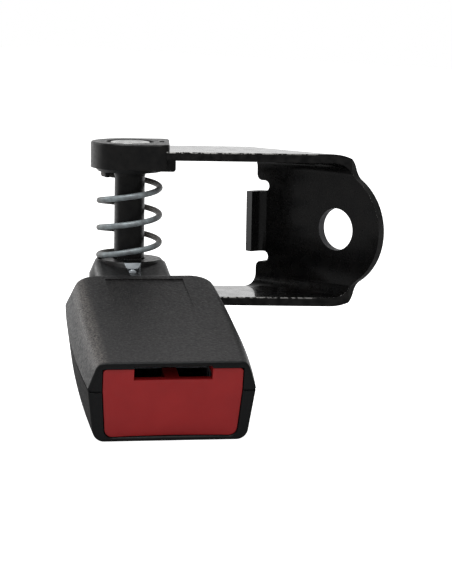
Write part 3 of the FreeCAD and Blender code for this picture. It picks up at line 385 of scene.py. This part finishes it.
class Finish:
    """A material with its shader and a few nodes that read the piece's own place."""

    def __init__(self, name, color, roughness, metallic=0.0, specular=0.5):
        self.mat = bpy.data.materials.new(name)
        self.mat.use_nodes = True
        self.tree = self.mat.node_tree
        self.shader = self.tree.nodes["Principled BSDF"]
        self.put("Base Color", (*color, 1))
        self.put("Roughness", roughness)
        self.put("Metallic", metallic)
        self.put("Specular IOR Level", specular)
        self.coords = self.tree.nodes.new("ShaderNodeTexCoord")

    def put(self, socket, value):
        self.shader.inputs[socket].default_value = value

    def feed(self, socket, output):
        self.tree.links.new(output, self.shader.inputs[socket])

    def grain(self, size, detail=2.0, stretch=(1, 1, 1)):
        """Noise whose marks are about one size across."""
        noise = self.tree.nodes.new("ShaderNodeTexNoise")
        noise.inputs["Scale"].default_value = 1.0 / size
        noise.inputs["Detail"].default_value = detail
        mapping = self.tree.nodes.new("ShaderNodeMapping")
        mapping.inputs["Scale"].default_value = stretch
        self.tree.links.new(self.coords.outputs["Object"], mapping.inputs["Vector"])
        self.tree.links.new(mapping.outputs["Vector"], noise.inputs["Vector"])
        return noise.outputs["Fac"]

    def spread(self, value, low, high, start=0.3, end=0.7):
        """From a low to a high output as a value goes from a start to an end."""
        node = self.tree.nodes.new("ShaderNodeMapRange")
        node.inputs["From Min"].default_value = start
        node.inputs["From Max"].default_value = end
        node.inputs["To Min"].default_value = low
        node.inputs["To Max"].default_value = high
        self.tree.links.new(value, node.inputs["Value"])
        return node.outputs["Result"]

    def math(self, operation, first, second=None):
        node = self.tree.nodes.new("ShaderNodeMath")
        node.operation = operation
        self.tree.links.new(first, node.inputs[0])
        if second is not None:
            self.tree.links.new(second, node.inputs[1])
        return node.outputs[0]

    def times(self, first, second):
        return self.math("MULTIPLY", first, second)

    def blend(self, share, first, second):
        """A colour output with a share of a second colour over it."""
        mix = self.tree.nodes.new("ShaderNodeMixRGB")
        mix.inputs["Color2"].default_value = (*second, 1)
        self.tree.links.new(share, mix.inputs["Fac"])
        self.tree.links.new(first, mix.inputs["Color1"])
        return mix.outputs["Color"]

    def clouds(self, size, detail, dark, pale, start=0.35, end=0.65):
        """A colour that drifts between a dark and a pale one, in clouds of about one size."""
        ramp = self.tree.nodes.new("ShaderNodeValToRGB")
        ramp.color_ramp.elements[0].position = start
        ramp.color_ramp.elements[0].color = (*dark, 1)
        ramp.color_ramp.elements[1].position = end
        ramp.color_ramp.elements[1].color = (*pale, 1)
        self.tree.links.new(self.grain(size, detail), ramp.inputs["Fac"])
        return ramp.outputs["Color"]

    def uneven_gloss(self, size, detail, low, high, stretch=(1, 1, 1)):
        """A roughness that drifts between a low and a high one."""
        self.feed("Roughness", self.spread(self.grain(size, detail, stretch), low, high))

    def relief(self, height, depth, strength=1.0, below=None):
        """Bumps of a depth in metres, on top of any that lie below."""
        bump = self.tree.nodes.new("ShaderNodeBump")
        bump.inputs["Strength"].default_value = strength
        bump.inputs["Distance"].default_value = depth
        self.tree.links.new(height, bump.inputs["Height"])
        if below is not None:
            self.tree.links.new(below, bump.inputs["Normal"])
        self.feed("Normal", bump.outputs["Normal"])
        return bump.outputs["Normal"]

    def place_in(self, frame_matrix):
        """Where a point lies along the three axes of a frame."""
        inward = frame_matrix.inverted()
        mapping = self.tree.nodes.new("ShaderNodeMapping")
        mapping.inputs["Location"].default_value = inward.translation
        mapping.inputs["Rotation"].default_value = inward.to_euler()
        self.tree.links.new(self.coords.outputs["Object"], mapping.inputs["Vector"])
        parts = self.tree.nodes.new("ShaderNodeSeparateXYZ")
        self.tree.links.new(mapping.outputs["Vector"], parts.inputs["Vector"])
        return parts.outputs["X"], parts.outputs["Y"], parts.outputs["Z"]

    def radius_of(self, frame_matrix):
        """How far a point lies from a frame's Z axis."""
        x, y = self.place_in(frame_matrix)[:2]
        return self.math("SQRT", self.math("ADD", self.times(x, x), self.times(y, y)))

    def near(self, value, at, reach):
        """One where a value is at a mark, down to nothing at a reach from it."""
        off = self.tree.nodes.new("ShaderNodeMath")
        off.operation = "SUBTRACT"
        off.inputs[1].default_value = at
        self.tree.links.new(value, off.inputs[0])
        return self.spread(self.math("ABSOLUTE", off.outputs[0]), 1.0, 0.0, start=0.0, end=reach)

    def burr_and_highlight(self):
        """The line along the two arms' front upper edges where the paint is scraped off in patches, painted
        pale as the edges' highlight as well.
        """
        along, across, height = self.place_in(PIN_FRAME)
        upper_arm = self.near(height, ARM_GAP + SHEET, BURR_HIGHLIGHT_REACH)
        lower_arm = self.near(height, 0.0, BURR_HIGHLIGHT_REACH)
        line = self.times(self.math("MAXIMUM", upper_arm, lower_arm), self.near(across, -ARM_HALF, BURR_HIGHLIGHT_REACH))
        line = self.times(line, self.spread(along, 1.0, 0.0, BURR_HIGHLIGHT_END, BURR_HIGHLIGHT_END + BURR_HIGHLIGHT_END_FADE))
        line = self.times(line, self.spread(along, 0.0, 1.0, BURR_HIGHLIGHT_BEGIN, BURR_HIGHLIGHT_BEGIN + BURR_HIGHLIGHT_BEGIN_FADE))
        fading = self.spread(along, 1.0, BURR_HIGHLIGHT_FAINTNESS, BURR_HIGHLIGHT_STRONG, BURR_HIGHLIGHT_FAINT)
        patches = self.spread(self.grain(BURR_HIGHLIGHT_PATCH, 4), 0.0, 1.0, start=0.44, end=0.54)
        return self.times(self.spread(line, 0.0, 1.0, start=0.25, end=0.6), self.times(patches, fading))


def black_paint():
    """Glossy black coat over folded sheet, with a slight orange peel and dust in it."""
    f = Finish("bracket_paint", color=(0.003, 0.003, 0.0032), roughness=0.3, specular=0.2)
    f.put("Coat Weight", 0.8)
    f.put("Coat Roughness", 0.12)
    body = f.clouds(5 * MM, 4, dark=(0.0012, 0.0012, 0.0014), pale=(0.0038, 0.0034, 0.0032))
    # Scraped steel along the arms' front upper edges, painted pale as a painted highlight as well
    f.feed("Base Color", f.blend(f.burr_and_highlight(), body, SCRAPED_AND_HIGHLIT))
    f.uneven_gloss(3 * MM, 5, low=0.18, high=0.36)
    peel = f.relief(f.grain(1.6 * MM), depth=0.02 * MM, strength=0.25)
    dust = f.relief(f.grain(0.45 * MM), depth=0.02 * MM, strength=0.22, below=peel)
    f.feed("Coat Normal", dust)
    return f.mat


def bare_and_highlit_edge():
    """The rough burr along an arm's front edge, rubbed to bright steel in patches, and painted pale as its
    highlight where it faces up and forward.
    """
    f = Finish("bracket_burr_highlight", color=(0.5, 0.5, 0.5), roughness=0.45, metallic=0.3)
    f.feed("Base Color", f.clouds(1.1 * MM, 5, dark=(0.02, 0.02, 0.02), pale=(0.88, 0.87, 0.84),
                                  start=0.40, end=0.52))
    f.uneven_gloss(0.4 * MM, 3, low=0.35, high=0.60)
    f.relief(f.grain(0.35 * MM, 3), depth=0.05 * MM, strength=0.7)
    return f.mat


def dull_shaded_edge():
    """The other edges of the sheet, where the paint is thin and only a little steel shows, as the
    painted-shade copy of the bright burr.
    """
    f = Finish("bracket_edge", color=(0.03, 0.03, 0.03), roughness=0.42, metallic=0.2)
    f.feed("Base Color", f.clouds(1.4 * MM, 5, dark=(0.010, 0.010, 0.010), pale=(0.14, 0.135, 0.13),
                                  start=0.48, end=0.70))
    f.uneven_gloss(0.5 * MM, 3, low=0.32, high=0.55)
    f.relief(f.grain(0.3 * MM, 3), depth=0.03 * MM, strength=0.5)
    return f.mat


def cut_edge():
    """The painted cut face of the sheet, rougher and greyer than the rolled faces."""
    f = Finish("bracket_cut", color=(0.006, 0.006, 0.006), roughness=0.5, specular=0.35)
    body = f.clouds(1.8 * MM, 5, dark=(0.0025, 0.0025, 0.0027), pale=(0.0120, 0.0112, 0.0108))
    # A painted reflection: the bolt hole's wall is paler grey than the other cut faces
    hole_wall_reflection = f.near(f.radius_of(HOLE_FRAME), HOLE_RADIUS, HOLE_WALL_REFLECTION_REACH)
    body = f.blend(hole_wall_reflection, body, HOLE_WALL_REFLECTION)
    # Scraped steel along the arms' front upper edges, painted pale as a painted highlight as well
    f.feed("Base Color", f.blend(f.burr_and_highlight(), body, SCRAPED_AND_HIGHLIT))
    f.uneven_gloss(0.9 * MM, 4, low=0.36, high=0.62)
    streaks = f.relief(f.grain(0.6 * MM), depth=0.04 * MM, strength=0.5)
    f.relief(f.grain(0.25 * MM), depth=0.02 * MM, strength=0.4, below=streaks)
    return f.mat


def cap_plastic():
    """Hard black moulding with a faint flow pattern."""
    f = Finish("black_moulding", color=(0.006, 0.006, 0.006), roughness=0.38)
    f.feed("Base Color", f.clouds(2.5 * MM, 4, dark=(0.0045, 0.0045, 0.0050), pale=(0.0105, 0.0098, 0.0094)))
    f.uneven_gloss(0.8 * MM, 3, low=0.28, high=0.46)
    f.relief(f.grain(0.22 * MM), depth=0.01 * MM, strength=0.35)
    return f.mat


def housing_plastic():
    """Satin black moulding with a fine spark-eroded grain, dusty, rubbed paler with a painted highlight along
    one top edge, and with painted shade over its front.
    """
    f = Finish("housing_grain", color=(0.018, 0.018, 0.019), roughness=0.5)
    ahead, across, height = f.place_in(HOUSE_FRAME)
    body = f.clouds(4 * MM, 6, dark=(0.0060, 0.0060, 0.0066), pale=(0.0140, 0.0132, 0.0130))

    dusty_front = f.spread(ahead, 0.0, DUST_SHARE, DUST_START, DUST_FULL)
    dusty_top = f.spread(height, 0.0, 1.0, DUST_LOW, DUST_HIGH)
    body = f.blend(f.times(dusty_front, dusty_top), body, DUST)
    pale_specks = f.spread(f.grain(0.45 * MM), 0.0, SPECK_SHARE, start=0.56, end=0.70)
    body = f.blend(pale_specks, body, SPECK)

    # Wear specks on the one top edge the light falls on, painted pale as its highlight too
    worn_lit_side = f.spread(across, 1.0, 0.0, -WEAR_HIGHLIGHT_OUTER, -WEAR_HIGHLIGHT_INNER)
    worn_lit_edge = f.times(worn_lit_side, f.spread(height, 0.0, 1.0, WEAR_HIGHLIGHT_LOW, WEAR_HIGHLIGHT_HIGH))
    worn_specks = f.spread(f.grain(0.5 * MM, 3), 0.0, 1.0, start=0.40, end=0.66)
    body = f.blend(f.times(worn_lit_edge, worn_specks), body, RUBBED_AND_HIGHLIT)

    # Painted shade over the housing's front, from the lip forward
    front_lip = f.spread(ahead, 0.0, 1.0, LIP_START, LIP_START + LIP_FADE)
    f.feed("Base Color", f.blend(front_lip, body, LIP_SHADE))
    f.uneven_gloss(0.8 * MM, 3, low=0.34, high=0.56)

    coarse = f.relief(f.grain(0.7 * MM), depth=0.09 * MM, strength=0.8)
    fine = f.relief(f.grain(0.3 * MM, 1), depth=0.03 * MM, strength=0.5, below=coarse)
    falling = f.times(f.spread(ahead, 0.0, 1.0, LIP_START, LIP_END),
                      f.spread(ahead, 0.0, -1.0, LIP_START, LIP_END))
    f.relief(falling, depth=LIP_DROP, below=fine)
    return f.mat


def red_plastic():
    """Smooth deep red moulding with a soft gloss and hair-fine rub marks."""
    f = Finish("button_red", color=(0.32, 0.012, 0.014), roughness=0.36, specular=0.4)
    f.feed("Base Color", f.clouds(9 * MM, 4, dark=(0.325, 0.0130, 0.0145), pale=(0.365, 0.0160, 0.0170)))
    f.uneven_gloss(1.2 * MM, 5, low=0.30, high=0.44)
    f.relief(f.grain(0.3 * MM), depth=0.01 * MM, strength=0.25)
    return f.mat


def spring_wire():
    """Drawn steel wire with a cool dull skin, darker and browner at the back of the coil."""
    f = Finish("spring_wire", color=(0.30, 0.32, 0.34), roughness=0.42, metallic=0.4)
    skin = f.clouds(2.2 * MM, 5, dark=(0.25, 0.27, 0.28), pale=(0.42, 0.48, 0.50))
    backward = f.place_in(PIN_FRAME)[1]
    brown = f.spread(backward, 0.0, 1.0, BROWN_START, BROWN_FULL)
    f.feed("Base Color", f.blend(brown, skin, BROWN_WIRE))
    f.uneven_gloss(0.4 * MM, 3, low=0.34, high=0.56, stretch=DRAWN)
    f.relief(f.grain(0.3 * MM, 2, DRAWN), depth=0.02 * MM, strength=0.35)
    return f.mat


def bright_steel():
    """Turned and riveted steel with painted shade in the ring pressed into its head."""
    f = Finish("rivet_steel", color=(0.7, 0.7, 0.69), roughness=0.3, metallic=0.85)
    metal = f.clouds(2.0 * MM, 3, dark=(0.60, 0.60, 0.59), pale=(0.76, 0.76, 0.74))
    # Painted shade in the ring pressed into the head
    groove = f.near(f.radius_of(PIN_FRAME), RIVET_GROOVE, RIVET_GROOVE_REACH)
    f.feed("Base Color", f.blend(groove, metal, RIVET_GROOVE_SHADE))
    f.uneven_gloss(0.6 * MM, 4, low=0.22, high=0.38)
    f.relief(f.grain(0.5 * MM), depth=0.006 * MM, strength=0.4)
    return f.mat


def zinc_plate():
    """Zinc-plated sheet, cool and slightly clouded."""
    f = Finish("zinc_plate", color=(0.66, 0.72, 0.76), roughness=0.34, metallic=0.3)
    f.feed("Base Color", f.clouds(2 * MM, 5, dark=(0.60, 0.66, 0.70), pale=(0.80, 0.85, 0.89)))
    f.uneven_gloss(0.7 * MM, 4, low=0.26, high=0.48)
    f.relief(f.grain(0.3 * MM), depth=0.02 * MM, strength=0.4)
    return f.mat


def hardened_steel():
    """Tumbled latch steel with a dark oily tone."""
    f = Finish("latch_steel", color=(0.3, 0.3, 0.31), roughness=0.4, metallic=1.0)
    f.feed("Base Color", f.clouds(1.5 * MM, 5, dark=(0.22, 0.22, 0.23), pale=(0.38, 0.38, 0.40)))
    f.uneven_gloss(0.5 * MM, 4, low=0.3, high=0.55)
    f.relief(f.grain(0.25 * MM, 3), depth=0.02 * MM, strength=0.5)
    return f.mat


def natural_nylon():
    """Undyed nylon, waxy and slightly clouded."""
    f = Finish("natural_nylon", color=(0.62, 0.60, 0.54), roughness=0.45)
    f.feed("Base Color", f.clouds(3 * MM, 3, dark=(0.58, 0.56, 0.50), pale=(0.66, 0.64, 0.58)))
    f.uneven_gloss(0.8 * MM, 3, low=0.38, high=0.55)
    f.relief(f.grain(0.25 * MM), depth=0.01 * MM, strength=0.3)
    return f.mat


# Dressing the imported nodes

def finish_nodes(mat, *nodes):
    """Gives CAD nodes a finish, with their shapes as they are."""
    for node in nodes:
        NODES[node].data.materials.clear()
        NODES[node].data.materials.append(mat)


def merged_copy(node, name, mats):
    """A copy of a node with its loose triangles joined up, left open in edit mode."""
    mesh = NODES[node].data.copy()
    piece = bpy.data.objects.new(name, mesh)
    bpy.context.scene.collection.objects.link(piece)
    mesh.materials.clear()
    for mat in mats:
        mesh.materials.append(mat)
    only(piece)
    bpy.ops.object.mode_set(mode="EDIT")
    bpy.ops.mesh.select_all(action="SELECT")
    bpy.ops.mesh.remove_doubles(threshold=MERGED)
    return piece


def dressed(node, body, edge_width, mats, edge_slot=PAINT_SLOT):
    """A merged copy of a node with its sharp edges rounded, which stands for the node."""
    piece = merged_copy(node, node + "_finished", mats)
    bpy.ops.mesh.dissolve_limited(angle_limit=LEVEL)
    bpy.ops.object.mode_set(mode="OBJECT")
    mark_roundings(piece.data, edge_width)
    if node == "bracket":
        mark_cut_faces(piece.data)
    bevel = piece.modifiers.new("edges", "BEVEL")
    bevel.width = edge_width
    bevel.segments = ROUNDING_STEPS
    bevel.limit_method = "WEIGHT"
    bevel.material = edge_slot
    bpy.ops.object.modifier_apply(modifier=bevel.name)
    if node == "bracket":
        mark_burr_highlights(piece.data)
    smooth(degrees=40)
    level = piece.modifiers.new("level_faces", "WEIGHTED_NORMAL")
    level.weight = LARGE_FACE_WEIGHT
    level.keep_sharp = True
    bpy.ops.object.modifier_apply(modifier=level.name)
    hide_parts(node)
    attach(piece, body)


def mark_roundings(mesh, edge_width):
    """Marks the sharp edges to round, and leaves out those that end beside an edge too short for it."""
    faces_at = {}
    for face in mesh.polygons:
        for key in face.edge_keys:
            faces_at.setdefault(key, []).append(face.normal)
    corner = {}
    for edge in mesh.edges:
        normals = faces_at[tuple(sorted(edge.vertices))]
        corner[edge.index] = len(normals) == 2 and normals[0].angle(normals[1], 0.0) > CORNER
    room = {}
    for edge in mesh.edges:
        first, second = (mesh.vertices[index].co for index in edge.vertices)
        if not corner[edge.index]:
            for index in edge.vertices:
                room[index] = min(room.get(index, ROOMY), (first - second).length)
    weights = mesh.attributes.new("bevel_weight_edge", "FLOAT", "EDGE")
    for edge in mesh.edges:
        space = min(room.get(index, ROOMY) for index in edge.vertices)
        if corner[edge.index] and space > TIGHT * edge_width:
            weights.data[edge.index].value = 1.0


def mark_cut_faces(mesh):
    """Gives the sheet's cut faces their own slot: all that don't lie in a rolled face or a bend."""
    for face in mesh.polygons:
        middle = face.center
        side = abs(face.normal.x) > CUT_SIDE_SLOPE
        end = abs(face.normal.z) > CUT_END_SLOPE
        if middle.x < TAB_START_X and abs(middle.z) < TAB_HALF + TAB_SLACK and middle.y < -BEHIND_FACE:
            cut = end
        else:
            cut = side or (end and middle.y > -SHEET)
        face.material_index = CUT_SLOT if cut else PAINT_SLOT


def mark_burr_highlights(mesh):
    """Keeps the bright burr, bare steel and painted highlight both, on the edges that face up and forward, and
    gives the others its painted-shade copy.
    """
    for face in mesh.polygons:
        up_and_forward = face.normal.z > BURR_LIT_RISE and face.normal.y < -BURR_LIT_LEAN
        if face.material_index == BURR_HIGHLIGHT_SLOT and not up_and_forward:
            face.material_index = DULL_SHADED_SLOT


# The return spring, wound again from round wire

def coil_level(turned):
    """The wire's height above its first turn, by the turns wound so far."""
    if turned <= 0:
        return 0.0
    return COIL_PITCH * turned * (1 + min(turned / COIL_EASE, 1.0)) / 2


def round_spring(mat):
    """A wire ring wound up the pin by the screw modifier, laid flat for its first part-turn."""
    deselect()
    bpy.ops.mesh.primitive_circle_add(vertices=WIRE_FACETS, radius=WIRE_RADIUS, rotation=(math.pi / 2, 0, 0),
                                      location=(COIL_RADIUS, 0, 0))
    spring = bpy.context.object
    spring.name = "return_spring_wound"
    bpy.ops.object.transform_apply(location=True, rotation=True, scale=True)
    rest_turns = COIL_REST / (2 * math.pi)
    turns = rest_turns + COIL_TURNS
    steps = int(turns * COIL_STEPS)
    winding = spring.modifiers.new("winding", "SCREW")
    winding.angle = 2 * math.pi * turns
    winding.screw_offset = 0.0
    winding.steps = steps
    winding.render_steps = steps
    bpy.ops.object.modifier_apply(modifier=winding.name)
    mesh = spring.data
    for vertex in mesh.vertices:
        ring = vertex.index // WIRE_FACETS
        vertex.co.z += coil_level(turns * ring / steps - rest_turns)
    end = 2 * math.pi * turns
    leg = Vector((-math.sin(end) * LEG_LENGTH, math.cos(end) * LEG_LENGTH, LEG_RISE))
    close_ends(spring, steps, leg)
    turned = Matrix.Rotation(COIL_START - COIL_REST, 4, "Z")
    mesh.transform(PIN_FRAME @ Matrix.Translation((0, 0, COIL_LOW)) @ turned)
    mesh.materials.append(mat)
    only(spring)
    smooth(degrees=50)
    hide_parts("return_spring")
    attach(spring, "bracket")


def close_ends(spring, steps, leg):
    """Caps the wire's first ring, draws its last one out into the leg and caps that."""
    mesh = spring.data
    only(spring)
    for first, draw in ((0, None), (steps * WIRE_FACETS, leg)):
        bpy.ops.object.mode_set(mode="EDIT")
        bpy.ops.mesh.select_mode(type="VERT")
        bpy.ops.mesh.select_all(action="DESELECT")
        bpy.ops.object.mode_set(mode="OBJECT")
        for vertex in mesh.vertices[first:first + WIRE_FACETS]:
            vertex.select = True
        bpy.ops.object.mode_set(mode="EDIT")
        if draw is not None:
            bpy.ops.mesh.extrude_region_move(TRANSFORM_OT_translate={"value": draw[:]})
        bpy.ops.mesh.edge_face_add()
    bpy.ops.mesh.select_all(action="SELECT")
    bpy.ops.mesh.normals_make_consistent(inside=False)
    bpy.ops.object.mode_set(mode="OBJECT")


# The small springs inside the housing

def pressed_spring(node, mat):
    """A merged copy of a small spring, smoothly shaded, which takes its node's place and rides with the
    buckle.
    """
    spring = merged_copy(node, node + "_pressed", [mat])
    bpy.ops.object.mode_set(mode="OBJECT")
    smooth(degrees=65)
    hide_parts(node)
    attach(spring, "buckle")
    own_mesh(spring)


# Pieces turned about the swivel pin

def turned_piece(name, outline, mat):
    """A piece turned from a closed outline of radius and height in mm, fixed to the bracket."""
    deselect()
    bpy.ops.mesh.primitive_circle_add(vertices=len(outline), radius=MM)
    piece = bpy.context.object
    piece.name = name
    for vertex, (radius, height) in zip(piece.data.vertices, outline):
        vertex.co = (radius * MM, 0, height * MM)
    turning = piece.modifiers.new("turning", "SCREW")
    turning.steps = TURN_STEPS
    turning.render_steps = TURN_STEPS
    bpy.ops.object.modifier_apply(modifier=turning.name)
    bpy.ops.object.mode_set(mode="EDIT")
    bpy.ops.mesh.select_all(action="SELECT")
    bpy.ops.mesh.remove_doubles(threshold=MERGED_TURNED)
    bpy.ops.mesh.normals_make_consistent(inside=False)
    bpy.ops.object.mode_set(mode="OBJECT")
    piece.data.transform(Matrix.Translation((PIN.x, PIN.y, 0)))
    piece.data.materials.append(mat)
    smooth(degrees=30)
    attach(piece, "bracket")


# The plated piece that shows in the collar's window

def window_plate(mat):
    """A small plate whose face leans back and narrows downwards."""
    deselect()
    depth = PLATE_FRONT - PLATE_BACK
    middle = (PLATE_TOP + PLATE_BOTTOM) / 2
    bpy.ops.mesh.primitive_cube_add(size=1, location=((PLATE_BACK + PLATE_FRONT) / 2, 0, middle),
                                    scale=(depth, 2 * PLATE_WIDE, PLATE_TOP - PLATE_BOTTOM))
    plate = bpy.context.object
    plate.name = "collar_window_plate"
    bpy.ops.object.transform_apply(location=True, rotation=True, scale=True)
    for vertex in plate.data.vertices:
        if vertex.co.z < middle:
            vertex.co.y *= PLATE_NARROW / PLATE_WIDE
        elif vertex.co.x > PLATE_BACK + depth / 2:
            vertex.co.x = PLATE_BACK + depth * PLATE_LEAN
    finish_small(plate, mat, PLATE_ROUNDING)


def window_pin(mat):
    """The round end of a pin below the plate, its lower half sunk behind the strap's eye."""
    deselect()
    length = PIN_END_FRONT - PLATE_BACK
    bpy.ops.mesh.primitive_cylinder_add(vertices=PIN_END_FACETS, radius=PIN_END_RADIUS, depth=length,
                                        rotation=(0, math.pi / 2, 0),
                                        location=(PLATE_BACK + length / 2, 0, PIN_END_HEIGHT))
    pin = bpy.context.object
    pin.name = "collar_window_pin"
    bpy.ops.object.transform_apply(location=True, rotation=True, scale=True)
    finish_small(pin, mat, PIN_END_ROUNDING)


def finish_small(piece, mat, edge_width):
    """Rounds a small piece's edges, seats it in the stalk's frame and lets it swing with the buckle."""
    only(piece)
    bevel = piece.modifiers.new("edges", "BEVEL")
    bevel.width = edge_width
    bevel.segments = ROUNDING_STEPS
    bpy.ops.object.modifier_apply(modifier=bevel.name)
    piece.data.transform(STALK_FRAME)
    piece.data.materials.append(mat)
    smooth(degrees=40)
    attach(piece, "buckle")


def main():
    make_camera()
    make_world()
    make_floor()
    for lamp in LAMPS:
        make_lamp(*lamp)

    moulding = cap_plastic()
    grain = housing_plastic()
    wire = spring_wire()
    bright = bright_steel()
    zinc = zinc_plate()

    sheet_finishes = [black_paint(), bare_and_highlit_edge(), cut_edge(), dull_shaded_edge()]
    dressed("bracket", "bracket", BRACKET_ROUNDING, sheet_finishes, BURR_HIGHLIGHT_SLOT)
    dressed("upper_shell", "buckle", SHELL_ROUNDING, [grain])
    dressed("lower_shell", "buckle", SHELL_ROUNDING, [grain])
    dressed("push_button", "button", BUTTON_ROUNDING, [red_plastic()])
    dressed("pivot_cap", "bracket", CAP_ROUNDING, [moulding])
    turned_piece("rivet_rolled_end", ROLLED_END, bright)
    turned_piece("cap_inset_ring", INSET_RING, moulding)
    round_spring(wire)
    window_plate(zinc)
    window_pin(zinc)
    pressed_spring("button_springs", wire)
    pressed_spring("ejector_spring", wire)
    pressed_spring("latch_spring", wire)

    finish_nodes(moulding, "spacer_bush", "neck_collar")
    finish_nodes(bright, "pivot_rivet", "strap_rivets", "latch_pin")
    finish_nodes(zinc, "anchor_strap", "pivot_bush", "frame")
    finish_nodes(hardened_steel(), "latch")
    finish_nodes(natural_nylon(), "thrust_washer", "ejector")

    bpy.context.scene.view_settings.view_transform = "Standard"


main()
